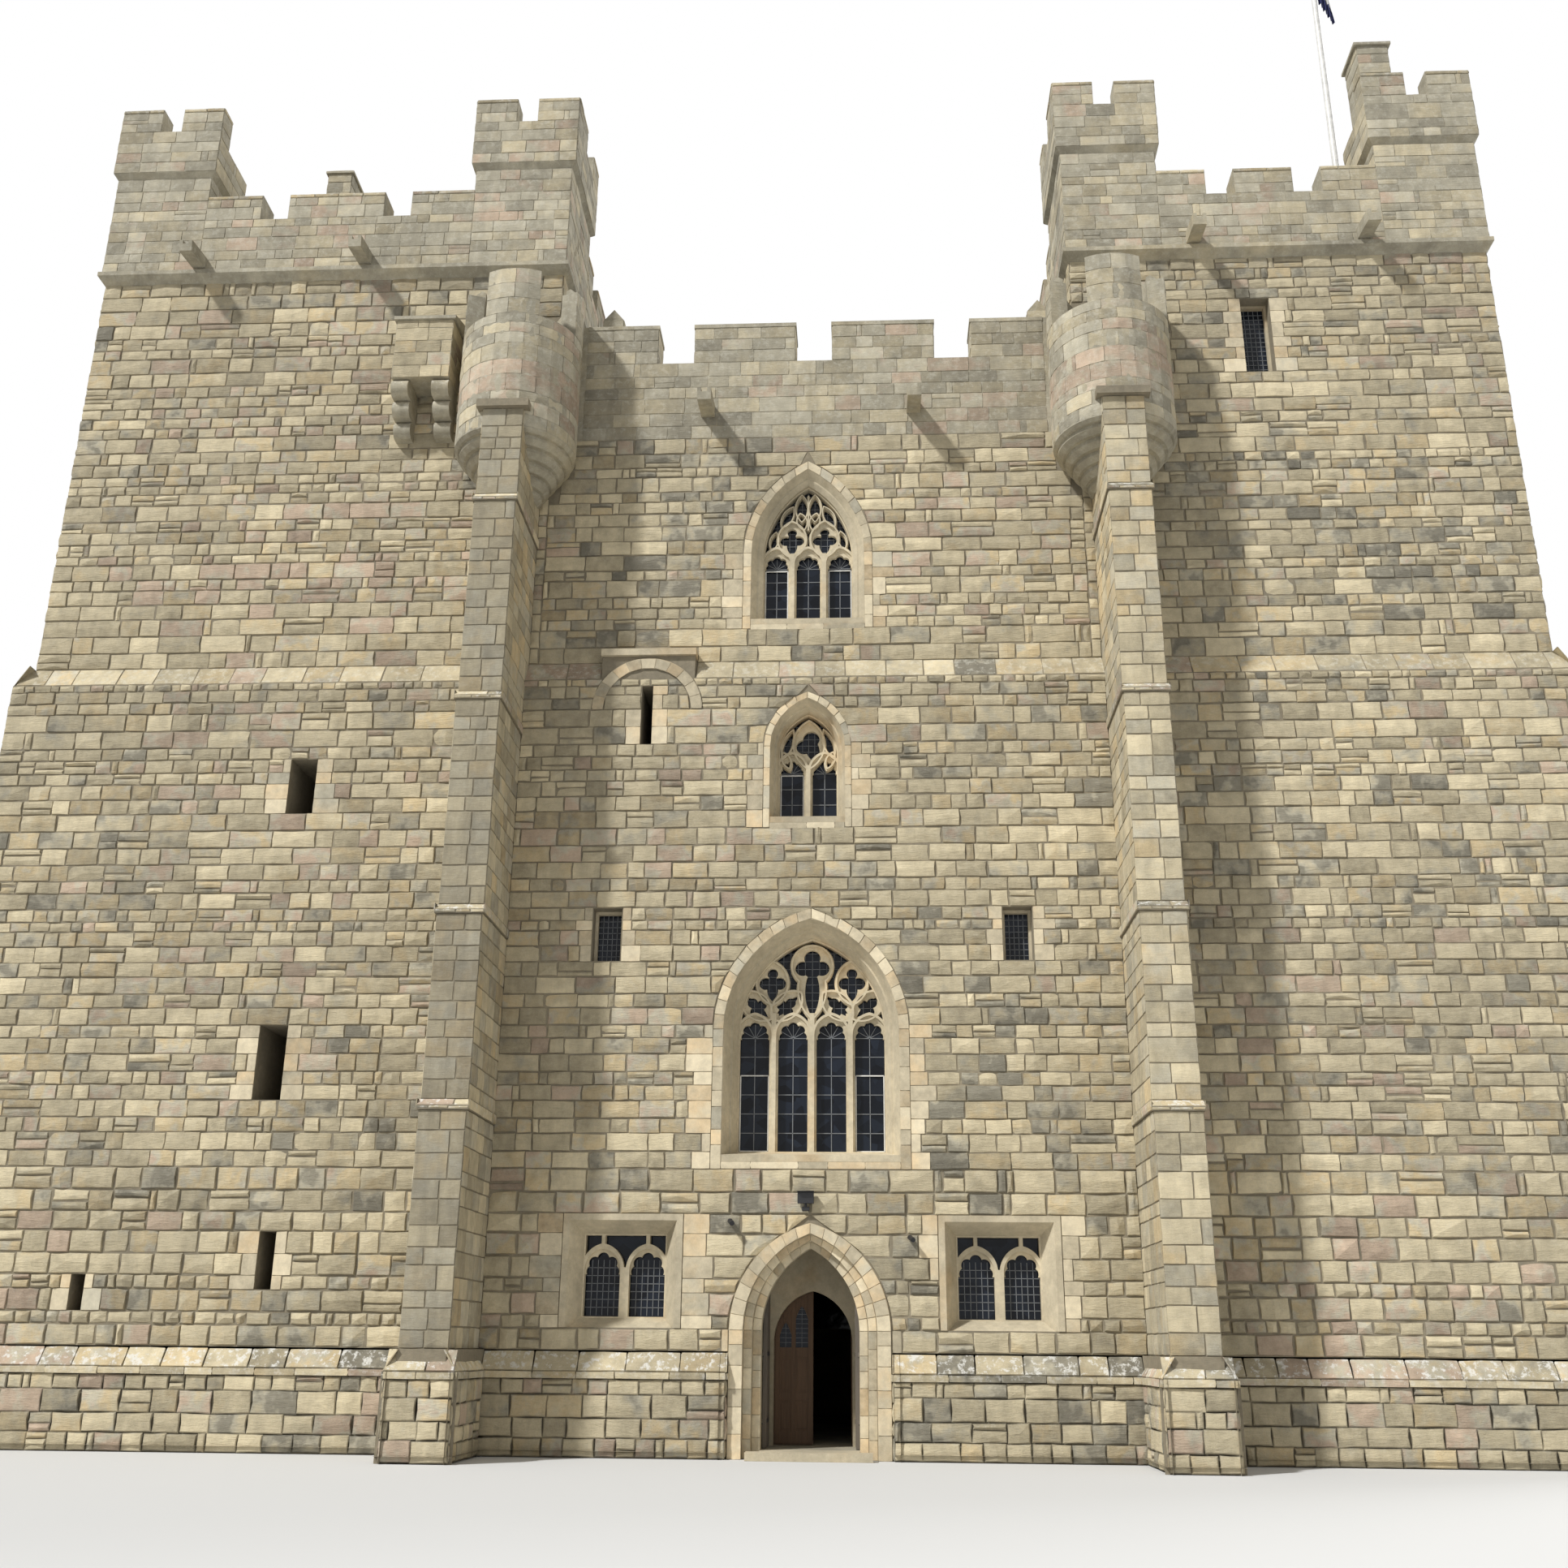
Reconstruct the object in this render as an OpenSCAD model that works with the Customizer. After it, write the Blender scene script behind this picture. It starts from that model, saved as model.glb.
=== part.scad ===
// Castle keep: a four-storey block with four corner towers.
// The entrance front faces -Y, X runs along it and Z is up, all in millimetres.
// The origin is on the ground at the middle of the plan.

/* [Plan] */
// Width of the towers left of the entrance, above the set-off
left_tower_w = 9500; // [9000:100:10500]
// Width of the towers right of the entrance, above the set-off
right_tower_w = 8150; // [8000:100:9500]
// Width of the hall front between the towers
hall_w = 10150; // [9800:50:11000]
// Depth of the keep, front wall to rear wall, above the set-off
body_d = 15600; // [15000:100:18000]
// Depth of each tower, front to back
tower_d = 6000; // [5600:100:6600]
// How far the side walls stand back between the towers
side_recess = 1200; // [800:100:1500]

/* [Walls] */
// Thickness of the outer walls above the set-off
wall_t = 1800; // [1700:50:2000]
// Thickness of the tower walls towards the hall
inner_wall_t = 1200; // [1000:50:1300]
// Thickness of the side walls between the towers
side_wall_t = 1500; // [1300:50:1700]
// How much thicker the walls are below the set-off
setoff_w = 250; // [150:10:300]
// Height of the sloping set-off course
setoff_h = 420; // [300:10:500]
// How far the plinth stands out at the ground
plinth_w = 200; // [120:10:260]

/* [Levels] */
// Top of the plinth slope
plinth_z = 1560; // [1400:20:1600]
// Bottom of the set-off slope
setoff_z = 13050; // [12950:50:13150]
// Top of the hall walls, where the parapet starts
hall_top_z = 18200; // [18100:50:18400]
// Top of the hall parapet's merlons
hall_merlon_z = 20800; // [20700:50:21000]
// Top of the tower walls, where their string course runs
tower_top_z = 22250; // [22000:50:22500]
// Height of the tower parapets over the tower walls
tower_parapet_h = 1900; // [1800:50:2200]
// Height of the corner turrets over the tower walls
turret_h = 4130; // [4000:10:4600]
// Level of the threshold and the ground floor
ground_z = 120; // [100:10:160]
// Level of the first floor
first_z = 4000; // [3900:50:4100]
// Level of the second floor
second_z = 9400; // [9200:50:9600]
// Level of the third floor
third_z = 13500; // [13400:50:13600]
// Thickness of the upper floors
floor_t = 300; // [240:20:360]

/* [Doorway] */
// Width of the outer arch
door_w = 1550; // [1500:10:1600]
// Springing level of the outer arch
door_spring = 1880; // [1800:20:1900]
// Rise of the outer arch to its apex
door_rise = 1260; // [1200:20:1300]
// Width of the inner doorway
inner_door_w = 1300; // [1240:10:1320]
// Springing level of the inner doorway
inner_spring = 1720; // [1700:10:1760]
// Rise of the inner doorway's arch
inner_rise = 800; // [760:10:840]
// Thickness of the outer door leaves
outer_leaf_t = 60; // [50:5:70]
// Thickness of the inner door leaves
inner_leaf_t = 50; // [45:5:60]

/* [Windows] */
// Width of the great window's opening
great_w = 2500; // [2440:20:2540]
// Width of the top window's opening
top_w = 1680; // [1640:20:1720]
// Width of the middle window's opening
middle_w = 1060; // [1020:20:1100]
// Width of each ground floor window's opening
ground_win_w = 1350; // [1280:10:1400]
// Thickness of the window stonework
tracery_t = 160; // [130:10:180]
// Width of the mullions
mullion_w = 150; // [130:5:160]
// Thickness of the glass
glass_t = 20; // [16:2:24]

/* [Buttresses and bartizans] */
// Width of the buttresses
buttress_w = 740; // [700:20:800]
// How far the top stage of a buttress stands out
buttress_d = 1800; // [1750:50:1850]
// How much deeper each lower stage is
buttress_step = 80; // [60:10:100]
// Outer radius of the bartizans
bartizan_r = 1130; // [1100:10:1160]
// Thickness of the bartizan walls
bartizan_t = 330; // [300:10:360]

/* [Hidden] */
$fn = 200;

body_w = left_tower_w + hall_w + right_tower_w;
x_left = -body_w / 2;
x_right = body_w / 2;
x_hall_l = x_left + left_tower_w;
x_hall_r = x_right - right_tower_w;
door_x = (x_hall_l + x_hall_r) / 2;
y_front = -body_d / 2;
y_low = y_front - setoff_w;
y_in = y_front + wall_t;
tower_y = y_front + tower_d;
setoff_top_z = setoff_z + setoff_h;
parapet_t = 700;
tower_parapet_t = 600;
parapet_out = 130;
// How far a tower parapet and its turrets stand out beyond the side of the tower
parapet_side = 60;
string_out = 60;
turret_w = 2000;
inner_turret_w = 1900;
inner_turret_d = 2200;
outer_turret_d = 1300;
turret_out = 90;
coping_h = 80;
coping_out = 20;
turret_t = 350;
// Foot of a turret's overhanging top over the tower walls
turret_stage_h = 2380;
turret_floor_h = 3050;
// Low rear walls of an outer turret over the tower walls
turret_low_h = 3380;
crenel_h = 880;
tower_crenel_h = 600;
turret_crenel_h = 580;
roof_z = hall_top_z + 550;
tower_roof_t = 160;
eps = 1;
pass_w = 1600;
pass_z = 3300;
surround_w = 500;
surround_t = 250;
clear = 5;
stone = [0.76, 0.68, 0.52];
dressed = [0.86, 0.78, 0.6];
grey_stone = [0.6, 0.56, 0.47];
oak = [0.32, 0.2, 0.12];
lead = [0.42, 0.44, 0.46];
pane = [0.2, 0.26, 0.36];

// Places in a window's list: width, sill, springing, rise, width and depth of its order
w_ = 0;
sill_ = 1;
spring_ = 2;
rise_ = 3;
order_ = 4;
depth_ = 5;
great = [great_w, 4680, 6650, 1680, 280, 300];
middle = [middle_w, 10490, 11720, 780, 170, 200];
top = [top_w, 14430, 15700, 1530, 280, 250];
middle_x = -80;
top_x = -100;
// How far the orders go down below the sills
sill_drop = 200;
ground_sill = 2050;
ground_head = 3350;
square_x = 3510;
square_w = 500;
square_h = 930;
square_sill = 7820;
ground_x = 3020;
splay = 195;
splay_rim = 100;
// Arrow slits of a left tower: distance left of the hall, sill, width, height
slits_left = [[4075, 10520, 480, 1030], [4065, 5460, 480, 1260], [3765, 2430, 270, 910],
              [6825, 2090, 230, 560]];
tower_win_x = 3565;
tower_win_w = 560;
tower_win_h = 1670;
tower_win_sill = tower_top_z - 2800;
relief_x = -2980;
relief_z = 12450;
relief_top = 13500;
relief_r = 1000;

// How far an arch's centres stand beyond the middle, in whole millimetres
function arch_c(a, rise) = round((rise * rise - a * a) / (2 * a));

// Rise of an arch that runs o outside one of half width a and rise, from the same centres
function outer_rise(a, rise, o) = sqrt((a + o) * (a + o) + 2 * (a + o) * arch_c(a, rise));

// Outline of a pointed opening, centred on x, from the sill to the apex
module pointed(w, sill, spring, rise) {
  a = w / 2;
  c = arch_c(a, rise);
  translate([-a, sill]) square([w, spring - sill]);
  intersection() {
    translate([c, spring]) circle(a + c);
    translate([-c, spring]) circle(a + c);
    translate([-a, spring]) square([w, rise + eps]);
  }
}

// Stands an outline up in the XZ plane, from y0 back to y1
module upright(y0, y1) {
  translate([0, y1, 0]) rotate([90, 0, 0]) linear_extrude(y1 - y0) children();
}

module front_and_rear() {
  children();
  mirror([0, 1, 0]) children();
}

module block(x0, x1, y0, y1, z0, z1) {
  translate([x0, y0, z0]) cube([x1 - x0, y1 - y0, z1 - z0]);
}

// Block whose plan goes from the box p at z0 to the box q at z1; a box is [x0, x1, y0, y1]
module sloped(p, q, z0, z1) {
  intersection() {
    upright(min(p[2], q[2]), max(p[3], q[3]))
      polygon([[p[0], z0], [p[1], z0], [q[1], z1], [q[0], z1]]);
    translate([min(p[0], q[0]), 0, 0]) rotate([90, 0, 90])
      linear_extrude(max(p[1], q[1]) - min(p[0], q[0]))
      polygon([[p[2], z0], [p[3], z0], [q[3], z1], [q[2], z1]]);
  }
}

function grown(x0, x1, y0, y1, g) = [x0 - g, x1 + g, y0 - g, y1 + g];

// Splayed opening, wider by g at y0 than at y1
module splay_cut(x0, x1, z0, z1, y0, y1, g) {
  intersection() {
    translate([0, 0, z0 - g]) linear_extrude(z1 - z0 + 2 * g)
      polygon([[x0 - g, y0], [x1 + g, y0], [x1, y1], [x0, y1]]);
    translate([x0 - g, 0, 0]) rotate([90, 0, 90]) linear_extrude(x1 - x0 + 2 * g)
      polygon([[y0, z0 - g], [y0, z1 + g], [y1, z1], [y1, z0]]);
  }
}

// Opening through the front wall, with its wider outer order; win is a window's list of sizes
module window_cut(win) {
  upright(y_low - eps, y_in + eps) pointed(win[w_], win[sill_], win[spring_], win[rise_]);
  upright(y_low - eps, y_front + win[depth_]) order_outline(win);
}

module order_outline(win) {
  o = win[order_];
  pointed(win[w_] + 2 * o, win[sill_] - sill_drop, win[spring_], outer_rise(win[w_] / 2, win[rise_], o));
}

module box_cut(x, sill, w, h) {
  block(x - w / 2, x + w / 2, y_low - eps, y_in + eps, sill, sill + h);
}

// One tower: a ring of walls, thicker below the set-off
module tower(x0, x1, outer) {
  void_x0 = outer < 0 ? x0 + wall_t : x0 + inner_wall_t;
  void_x1 = outer < 0 ? x1 - inner_wall_t : x1 - wall_t;
  lo_x0 = outer < 0 ? x0 - setoff_w : x0;
  lo_x1 = outer < 0 ? x1 : x1 + setoff_w;
  difference() {
    union() {
      block(lo_x0, lo_x1, y_low, tower_y, 0, setoff_z);
      block(x0, x1, y_front, tower_y, 0, tower_top_z);
      sloped([lo_x0, lo_x1, y_low, tower_y], [x0, x1, y_front, tower_y], setoff_z, setoff_top_z);
    }
    block(void_x0, void_x1, y_in, tower_y - inner_wall_t, -eps, tower_top_z + eps);
    children();
  }
}

module left_slits() {
  for (s = slits_left) box_cut(x_hall_l - s[0], s[1], s[2], s[3]);
}

module tower_window() {
  box_cut(x_hall_r + tower_win_x, tower_win_sill, tower_win_w, tower_win_h);
}

module tower_front_left() {
  color(stone) tower(x_left, x_hall_l, -1) left_slits();
}

module tower_front_right() {
  color(stone) tower(x_hall_r, x_right, 1) tower_window();
}

module tower_rear_left() {
  color(stone) mirror([0, 1, 0]) tower(x_left, x_hall_l, -1) left_slits();
}

module tower_rear_right() {
  color(stone) mirror([0, 1, 0]) tower(x_hall_r, x_right, 1) tower_window();
}

// Front wall profile seen from the side, with the set-off
module wall_profile(z0, z1) {
  intersection() {
    polygon([[y_low, 0], [y_low, setoff_z], [y_front, setoff_top_z], [y_front, hall_top_z],
             [y_in, hall_top_z], [y_in, 0]]);
    translate([y_low - eps, z0]) square([wall_t + setoff_w + 2 * eps, z1 - z0]);
  }
}

module wall_run(x0, x1, z0, z1) {
  translate([x0, 0, 0]) rotate([90, 0, 90]) linear_extrude(x1 - x0) wall_profile(z0, z1);
}

module hall_windows() {
  translate([door_x, 0, 0]) {
    window_cut(great);
    translate([middle_x, 0, 0]) window_cut(middle);
    translate([top_x, 0, 0]) window_cut(top);
    for (side = [-1, 1]) {
      box_cut(side * square_x, square_sill, square_w, square_h);
      ground_cut(side * ground_x);
    }
    box_cut(relief_x, 11780, 200, 1130);
  }
}

// Opening of a square-headed window, with the seat of its dressed frame
module ground_cut(x) {
  box_cut(x, ground_sill, ground_win_w, ground_head - ground_sill);
  o = ground_win_w / 2 + splay + splay_rim;
  block(x - o, x + o, y_low - eps, y_front + 100, ground_sill - splay - splay_rim + 145,
        ground_head + splay + splay_rim);
}

// Wall of the lower storeys carried up under the slab over the walled-up arch
module relief_panel() {
  block(door_x + relief_x - relief_r + 150, door_x + relief_x + relief_r - 150, y_low, y_front + eps,
        setoff_z - eps, relief_top);
}

door_half = pass_w / 2 + 900;

module front_wall_left() {
  color(stone) difference() {
    union() {
      wall_run(x_hall_l, door_x - door_half, 0, hall_top_z);
      relief_panel();
    }
    hall_windows();
  }
}

module front_wall_right() {
  color(stone) difference() {
    wall_run(door_x + door_half, x_hall_r, 0, hall_top_z);
    hall_windows();
  }
}

// Outline of the outer arch, wider by o on each side
module door_outline(o, z0) {
  pointed(door_w + 2 * o, z0, door_spring, door_rise + 0.75 * o);
}

module front_wall_over_door() {
  color(stone) difference() {
    wall_run(door_x - door_half, door_x + door_half, 0, hall_top_z);
    hall_windows();
    block(door_x - pass_w / 2, door_x + pass_w / 2, y_low - eps, y_in + eps, -eps, pass_z);
    translate([door_x, 0, 0]) upright(y_low - eps, y_low + setoff_w + surround_t)
      door_outline(surround_w, -eps);
  }
}

module rear_wall() {
  color(stone) mirror([0, 1, 0]) difference() {
    union() {
      wall_run(x_hall_l, x_hall_r, 0, hall_top_z);
      relief_panel();
    }
    hall_windows();
    translate([door_x, 0, 0]) ground_cut(0);
  }
}

module side_wall(x_out, dir) {
  x_face = x_out - dir * side_recess;
  x_back = x_face - dir * side_wall_t;
  x_lowf = x_face + dir * setoff_w;
  y0 = tower_y;
  points = [[x_lowf, 0], [x_lowf, setoff_z], [x_face, setoff_top_z], [x_face, hall_top_z],
            [x_back, hall_top_z], [x_back, 0]];
  difference() {
    translate([0, -y0, 0]) rotate([90, 0, 0]) linear_extrude(-2 * y0) polygon(points);
    for (z = side_sills) translate([x_face - side_wall_t * 1.5, -side_win_w / 2, z])
      cube([side_wall_t * 3, side_win_w, side_win_h]);
  }
}

module side_walls() {
  color(stone) {
    side_wall(x_left, -1);
    side_wall(x_right, 1);
  }
}

// Plinth skirt of one rectangle of the plan
module skirt(x0, x1, y0, y1) {
  block(x0 - plinth_w, x1 + plinth_w, y0 - plinth_w, y1 + plinth_w, 0, plinth_z - 310);
  sloped(grown(x0, x1, y0, y1, plinth_w), grown(x0, x1, y0, y1, 0), plinth_z - 310, plinth_z);
}

module plan_below_setoff(z1) {
  block(x_left - setoff_w, x_right + setoff_w, y_low, tower_y, -eps, z1);
  block(x_left - setoff_w, x_right + setoff_w, -tower_y, -y_low, -eps, z1);
  block(x_left - setoff_w + side_recess, x_right + setoff_w - side_recess, y_low, -y_low, -eps, z1);
}

module plinth() {
  difference() {
    union() {
      skirt(x_left - setoff_w, x_right + setoff_w, y_low, tower_y - plinth_w);
      skirt(x_left - setoff_w, x_right + setoff_w, -tower_y + plinth_w, -y_low);
      skirt(x_left - setoff_w + side_recess, x_right + setoff_w - side_recess, tower_y, -tower_y);
      front_and_rear() for (x = buttress_x)
        skirt(x - buttress_w / 2, x + buttress_w / 2, y_front - stage_d(0), y_low);
    }
    plan_below_setoff(plinth_z + eps);
    block(door_x - door_w / 2 - surround_w - 25, door_x + door_w / 2 + surround_w + 25,
          y_low - plinth_w - eps, y_low + eps, -eps, plinth_z + eps);
    buttress_blocks(eps);
  }
}

module plinth_front() {
  far = body_w;
  color(grey_stone) intersection() {
    plinth();
    block(-far, far, -far, y_low, -eps, plinth_z + eps);
  }
}

module plinth_rear() {
  mirror([0, 1, 0]) color(grey_stone) intersection() {
    mirror([0, 1, 0]) plinth();
    block(-body_w, body_w, -body_w, y_low, -eps, plinth_z + eps);
  }
}

module plinth_sides() {
  color(grey_stone) intersection() {
    plinth();
    block(-body_w, body_w, y_low, -y_low, -eps, plinth_z + eps);
  }
}

// Floor plates fill the hall, the side bays and the four tower rooms
module floor_plate(z_top, t) {
  z0 = z_top - t;
  block(x_hall_l, x_hall_r, y_in, -y_in, z0, z_top);
  block(x_left + side_recess + side_wall_t, x_right - side_recess - side_wall_t,
        tower_y, -tower_y, z0, z_top);
  front_and_rear() {
    block(x_left + wall_t, x_hall_l - inner_wall_t, y_in, tower_y - inner_wall_t, z0, z_top);
    block(x_hall_r + inner_wall_t, x_right - wall_t, y_in, tower_y - inner_wall_t, z0, z_top);
  }
}

module ground_floor() {
  color(grey_stone) {
    floor_plate(ground_z, ground_z);
    block(door_x - pass_w / 2, door_x + pass_w / 2, y_front + surround_t, y_in, 0, ground_z);
  }
}

module first_floor() {
  color(oak) floor_plate(first_z, floor_t);
}

module second_floor() {
  color(oak) floor_plate(second_z, floor_t);
}

module third_floor() {
  color(oak) floor_plate(third_z, floor_t);
}

// Low-pitched lead roof over the hall, with a gutter behind the parapets
module hall_roof() {
  ridge = 500;
  run = body_d / 2 - parapet_t;
  color(lead) {
    translate([x_hall_l, 0, 0]) rotate([90, 0, 90]) linear_extrude(hall_w)
      polygon([[-run, hall_top_z], [-run, roof_z], [-run + 600, roof_z], [0, roof_z + ridge],
               [run - 600, roof_z], [run, roof_z], [run, hall_top_z]]);
    for (xs = [[x_left + side_recess + 600, x_hall_l], [x_hall_r, x_right - side_recess - 600]])
      block(xs[0], xs[1], tower_y, -tower_y, hall_top_z, roof_z);
  }
}

module tower_roofs() {
  color(lead) front_and_rear() {
    tower_roof(x_left, x_hall_l, outer_left, inner_left);
    tower_roof(x_hall_r, x_right, inner_right, outer_right);
  }
}

module tower_roof(x0, x1, left, right) {
  difference() {
    block(x0 + inner_lip, x1 - inner_lip, y_front + inner_lip, tower_y - inner_lip,
          tower_top_z, tower_top_z + tower_roof_t);
    turret_blocks([left, right], eps);
  }
}

inner_lip = tower_parapet_t - parapet_out;

// Turrets as [left edge, width, depth]: left tower's outer and inner, right tower's inner and outer
outer_left = [x_left - parapet_side, turret_w, outer_turret_d];
inner_left = [x_hall_l + parapet_side - turret_w, turret_w, inner_turret_d];
inner_right = [x_hall_r - parapet_side, inner_turret_w, inner_turret_d];
outer_right = [x_right + parapet_side - turret_w, turret_w, outer_turret_d];

module turret_blocks(turrets, grow) {
  for (t = turrets)
    block(t[0] - grow, t[0] + t[1] + grow, y_front - parapet_out - grow, y_front - parapet_out + t[2] + grow,
          tower_top_z - 60, tower_top_z + turret_h);
}

// Course with the plan q, its underside chamfered from the plan p at z
module overhang(p, q, z, slope_h, top_z) {
  sloped(p, q, z, z + slope_h);
  block(q[0], q[1], q[2], q[3], z + slope_h - eps, top_z);
}

// Crenels cut through a wall along X: centres and width
module gaps_x(xs, w, y0, y1, z0, z1) {
  for (x = xs) block(x - w / 2, x + w / 2, y0, y1, z0, z1);
}

module front_parapet_body() {
  merlons = 4;
  gap = 730;
  z_gap = hall_merlon_z - crenel_h;
  pitch = (hall_w + gap) / merlons;
  block(x_hall_l, x_hall_r, y_front, y_front + parapet_t, hall_top_z, z_gap);
  for (i = [0 : merlons - 1]) {
    x0 = x_hall_l + i * pitch;
    x1 = x0 + pitch - gap;
    block(x0, x1, y_front, y_front + parapet_t, z_gap - eps, hall_merlon_z);
    block(max(x0 - coping_out, x_hall_l), min(x1 + coping_out, x_hall_r), y_front,
          y_front + parapet_t + coping_out, hall_merlon_z - coping_h, hall_merlon_z);
    block(max(x0 - coping_out, buttress_x[0] + bartizan_r), min(x1 + coping_out, buttress_x[1] - bartizan_r),
          y_front - coping_out, y_front + eps, hall_merlon_z - coping_h, hall_merlon_z);
  }
}

module hall_parapets() {
  t = 600;
  color(grey_stone) front_and_rear() front_parapet_body();
  color(grey_stone) for (s = [[x_left + side_recess, 1], [x_right - side_recess, -1]])
    difference() {
      block(min(s[0], s[0] + s[1] * t), max(s[0], s[0] + s[1] * t), tower_y, -tower_y,
            hall_top_z, hall_merlon_z);
      block(s[0] - t - eps, s[0] + t + eps, -365, 365, hall_merlon_z - crenel_h, hall_merlon_z + eps);
    }
}

// Parapet of one tower over its chamfered string course, cut for the turrets; crenels are fractions
// of the run between the turrets
module tower_parapet(x0, x1, left, right, crenels) {
  xa = x0 - parapet_side;
  xb = x1 + parapet_side;
  ya = y_front - parapet_out;
  yb = tower_y + parapet_side;
  z1 = tower_top_z + tower_parapet_h;
  z_gap = z1 - tower_crenel_h;
  gap = 570;
  run0 = left[0] + left[1];
  run = right[0] - run0;
  difference() {
    union() {
      block(xa, xb, ya, yb, tower_top_z - 60, z1);
      overhang(grown(x0, x1, y_front, tower_y, -10), grown(xa, xb, ya, yb, string_out),
               tower_top_z - 200, 160, tower_top_z + 50);
    }
    block(x0 + inner_lip, x1 - inner_lip, y_front + inner_lip, tower_y - inner_lip,
          tower_top_z - 300, z1 + eps);
    block(x0, x1, y_front, tower_y, tower_top_z - 300, tower_top_z);
    turret_blocks([left, right], 0);
    gaps_x([for (f = crenels) run0 + f * run], gap, ya - 100, y_front + inner_lip + eps, z_gap, z1 + eps);
    gaps_x([for (f = [0.25, 0.5, 0.75]) x0 + f * (x1 - x0)], gap,
           tower_y - inner_lip - eps, yb + 100, z_gap, z1 + eps);
    for (y = [y_front + inner_turret_d + 500, y_front + inner_turret_d + 2100])
      block(xa - 100, xb + 100, y, y + gap, z_gap, z1 + eps);
  }
}

module tower_parapets() {
  color(grey_stone) front_and_rear() {
    tower_parapet(x_left, x_hall_l, outer_left, inner_left, [0.258, 0.717]);
    tower_parapet(x_hall_r, x_right, inner_right, outer_right, [0.287, 0.683]);
  }
}

// One corner turret: a square shaft whose battlements overhang it; low if its rear walls are lower
module turret(t, low) {
  x0 = t[0];
  x1 = t[0] + t[1];
  y0 = y_front - parapet_out;
  y1 = y0 + t[2];
  z1 = tower_top_z + turret_h;
  z_sill = z1 - turret_crenel_h;
  z_floor = tower_top_z + turret_floor_h;
  gap = 440;
  far = 1000;
  difference() {
    union() {
      block(x0, x1, y0, y1, tower_top_z - 60, z1);
      overhang(grown(x0, x1, y0, y1, -10), grown(x0, x1, y0, y1, turret_out),
               tower_top_z + turret_stage_h, 120, z1);
    }
    block(x_left, x_hall_l, y_front, tower_y, tower_top_z - 300, tower_top_z);
    block(x_hall_r, x_right, y_front, tower_y, tower_top_z - 300, tower_top_z);
    block(x0 + turret_t, x1 - turret_t, y0 + turret_t, y1 - turret_t, z_floor, z1 + eps);
    gaps_x([(x0 + x1) / 2], gap, y0 - far, low ? y0 + turret_t + eps : y1 + far, z_sill, z1 + eps);
    if (low)
      block(x0 - far, x1 + far, y0 + turret_t, y1 + far, tower_top_z + turret_low_h, z1 + eps);
    else
      block(x0 - far, x1 + far, y0 + 900, y0 + 900 + gap * 1.8, z_sill, z1 + eps);
  }
}

// Chimney stack that rises from the outer corner turret of the right tower
module turret_stack() {
  w = 630;
  d = 780;
  slab = 60;
  x = outer_right[0] - turret_out;
  y = y_front - parapet_out - turret_out;
  z1 = tower_top_z + turret_h + 700;
  block(x, x + w, y, y + d, tower_top_z + turret_stage_h + 120, z1);
  block(x - slab, x + w + slab, y - slab, y + d + slab, z1 - eps, z1 + slab);
  sloped(grown(x, x + w, y, y + d, slab), grown(x, x + w, y, y + d, -slab * 2), z1 + slab, z1 + 200);
}

module turrets() {
  color(grey_stone) front_and_rear() {
    turret(outer_left, true);
    turret(inner_left, false);
    turret(inner_right, false);
    turret(outer_right, true);
    turret_stack();
  }
}

// Buttress axis: in line with the tower walls beside the hall
buttress_in = inner_wall_t / 2 - 50;
buttress_x = [x_hall_l - buttress_in, x_hall_r + buttress_in];
buttress_top = 17950;
buttress_levels = [0, 5050, 8200, 11980, 15850];

function stage_d(i) = buttress_d + (len(buttress_levels) - 1 - i) * buttress_step;

module buttress_profile() {
  y1 = y_front;
  n = len(buttress_levels);
  polygon(concat([[y1, 0]],
    [for (i = [0 : n - 1]) each let (top = i < n - 1 ? buttress_levels[i + 1] : buttress_top)
      [[y1 - stage_d(i), buttress_levels[i]], [y1 - stage_d(i), top]]],
    [[y1, buttress_top]]));
}

// Weathered slabs on the set-offs and the cap under the bartizan
module buttress_slabs(grow) {
  y1 = y_front;
  out = 40;
  n = len(buttress_levels);
  w = buttress_w + 2 * out + 2 * grow;
  for (i = [1 : n - 1]) {
    z = buttress_levels[i];
    translate([-w / 2, 0, 0]) rotate([90, 0, 90]) linear_extrude(w)
      polygon([[y1 - stage_d(i - 1) - out, z], [y1 - stage_d(i - 1) - out, z + 60],
               [y1 - stage_d(i), z + 170], [y1, z + 170], [y1, z]]);
  }
  cap = 110 + grow;
  block(-buttress_w / 2 - cap, buttress_w / 2 + cap, y1 - buttress_d - cap, y1 - 900, buttress_top - 150,
        buttress_top);
}

module buttress_blocks(grow) {
  front_and_rear() for (x = buttress_x) translate([x, 0, 0]) {
    translate([-buttress_w / 2 - grow, 0, 0]) rotate([90, 0, 90])
      linear_extrude(buttress_w + 2 * grow) buttress_profile();
    buttress_slabs(grow);
  }
}

module buttresses() {
  color(stone) difference() {
    buttress_blocks(0);
    front_and_rear() block(x_left, x_right, y_low, y_in, -eps, setoff_z);
    front_and_rear() translate([x_left, 0, 0]) rotate([90, 0, 90]) linear_extrude(body_w)
      polygon([[y_low, setoff_z - eps], [y_low, setoff_z], [y_front, setoff_top_z], [y_in, setoff_top_z],
               [y_in, setoff_z - eps]]);
  }
}

bartizan_y = y_front - 660;
bartizan_z = 17400;
bartizan_merlon_z = 20900;

module both_flanks() {
  children();
  mirror([1, 0, 0]) children();
}

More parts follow.
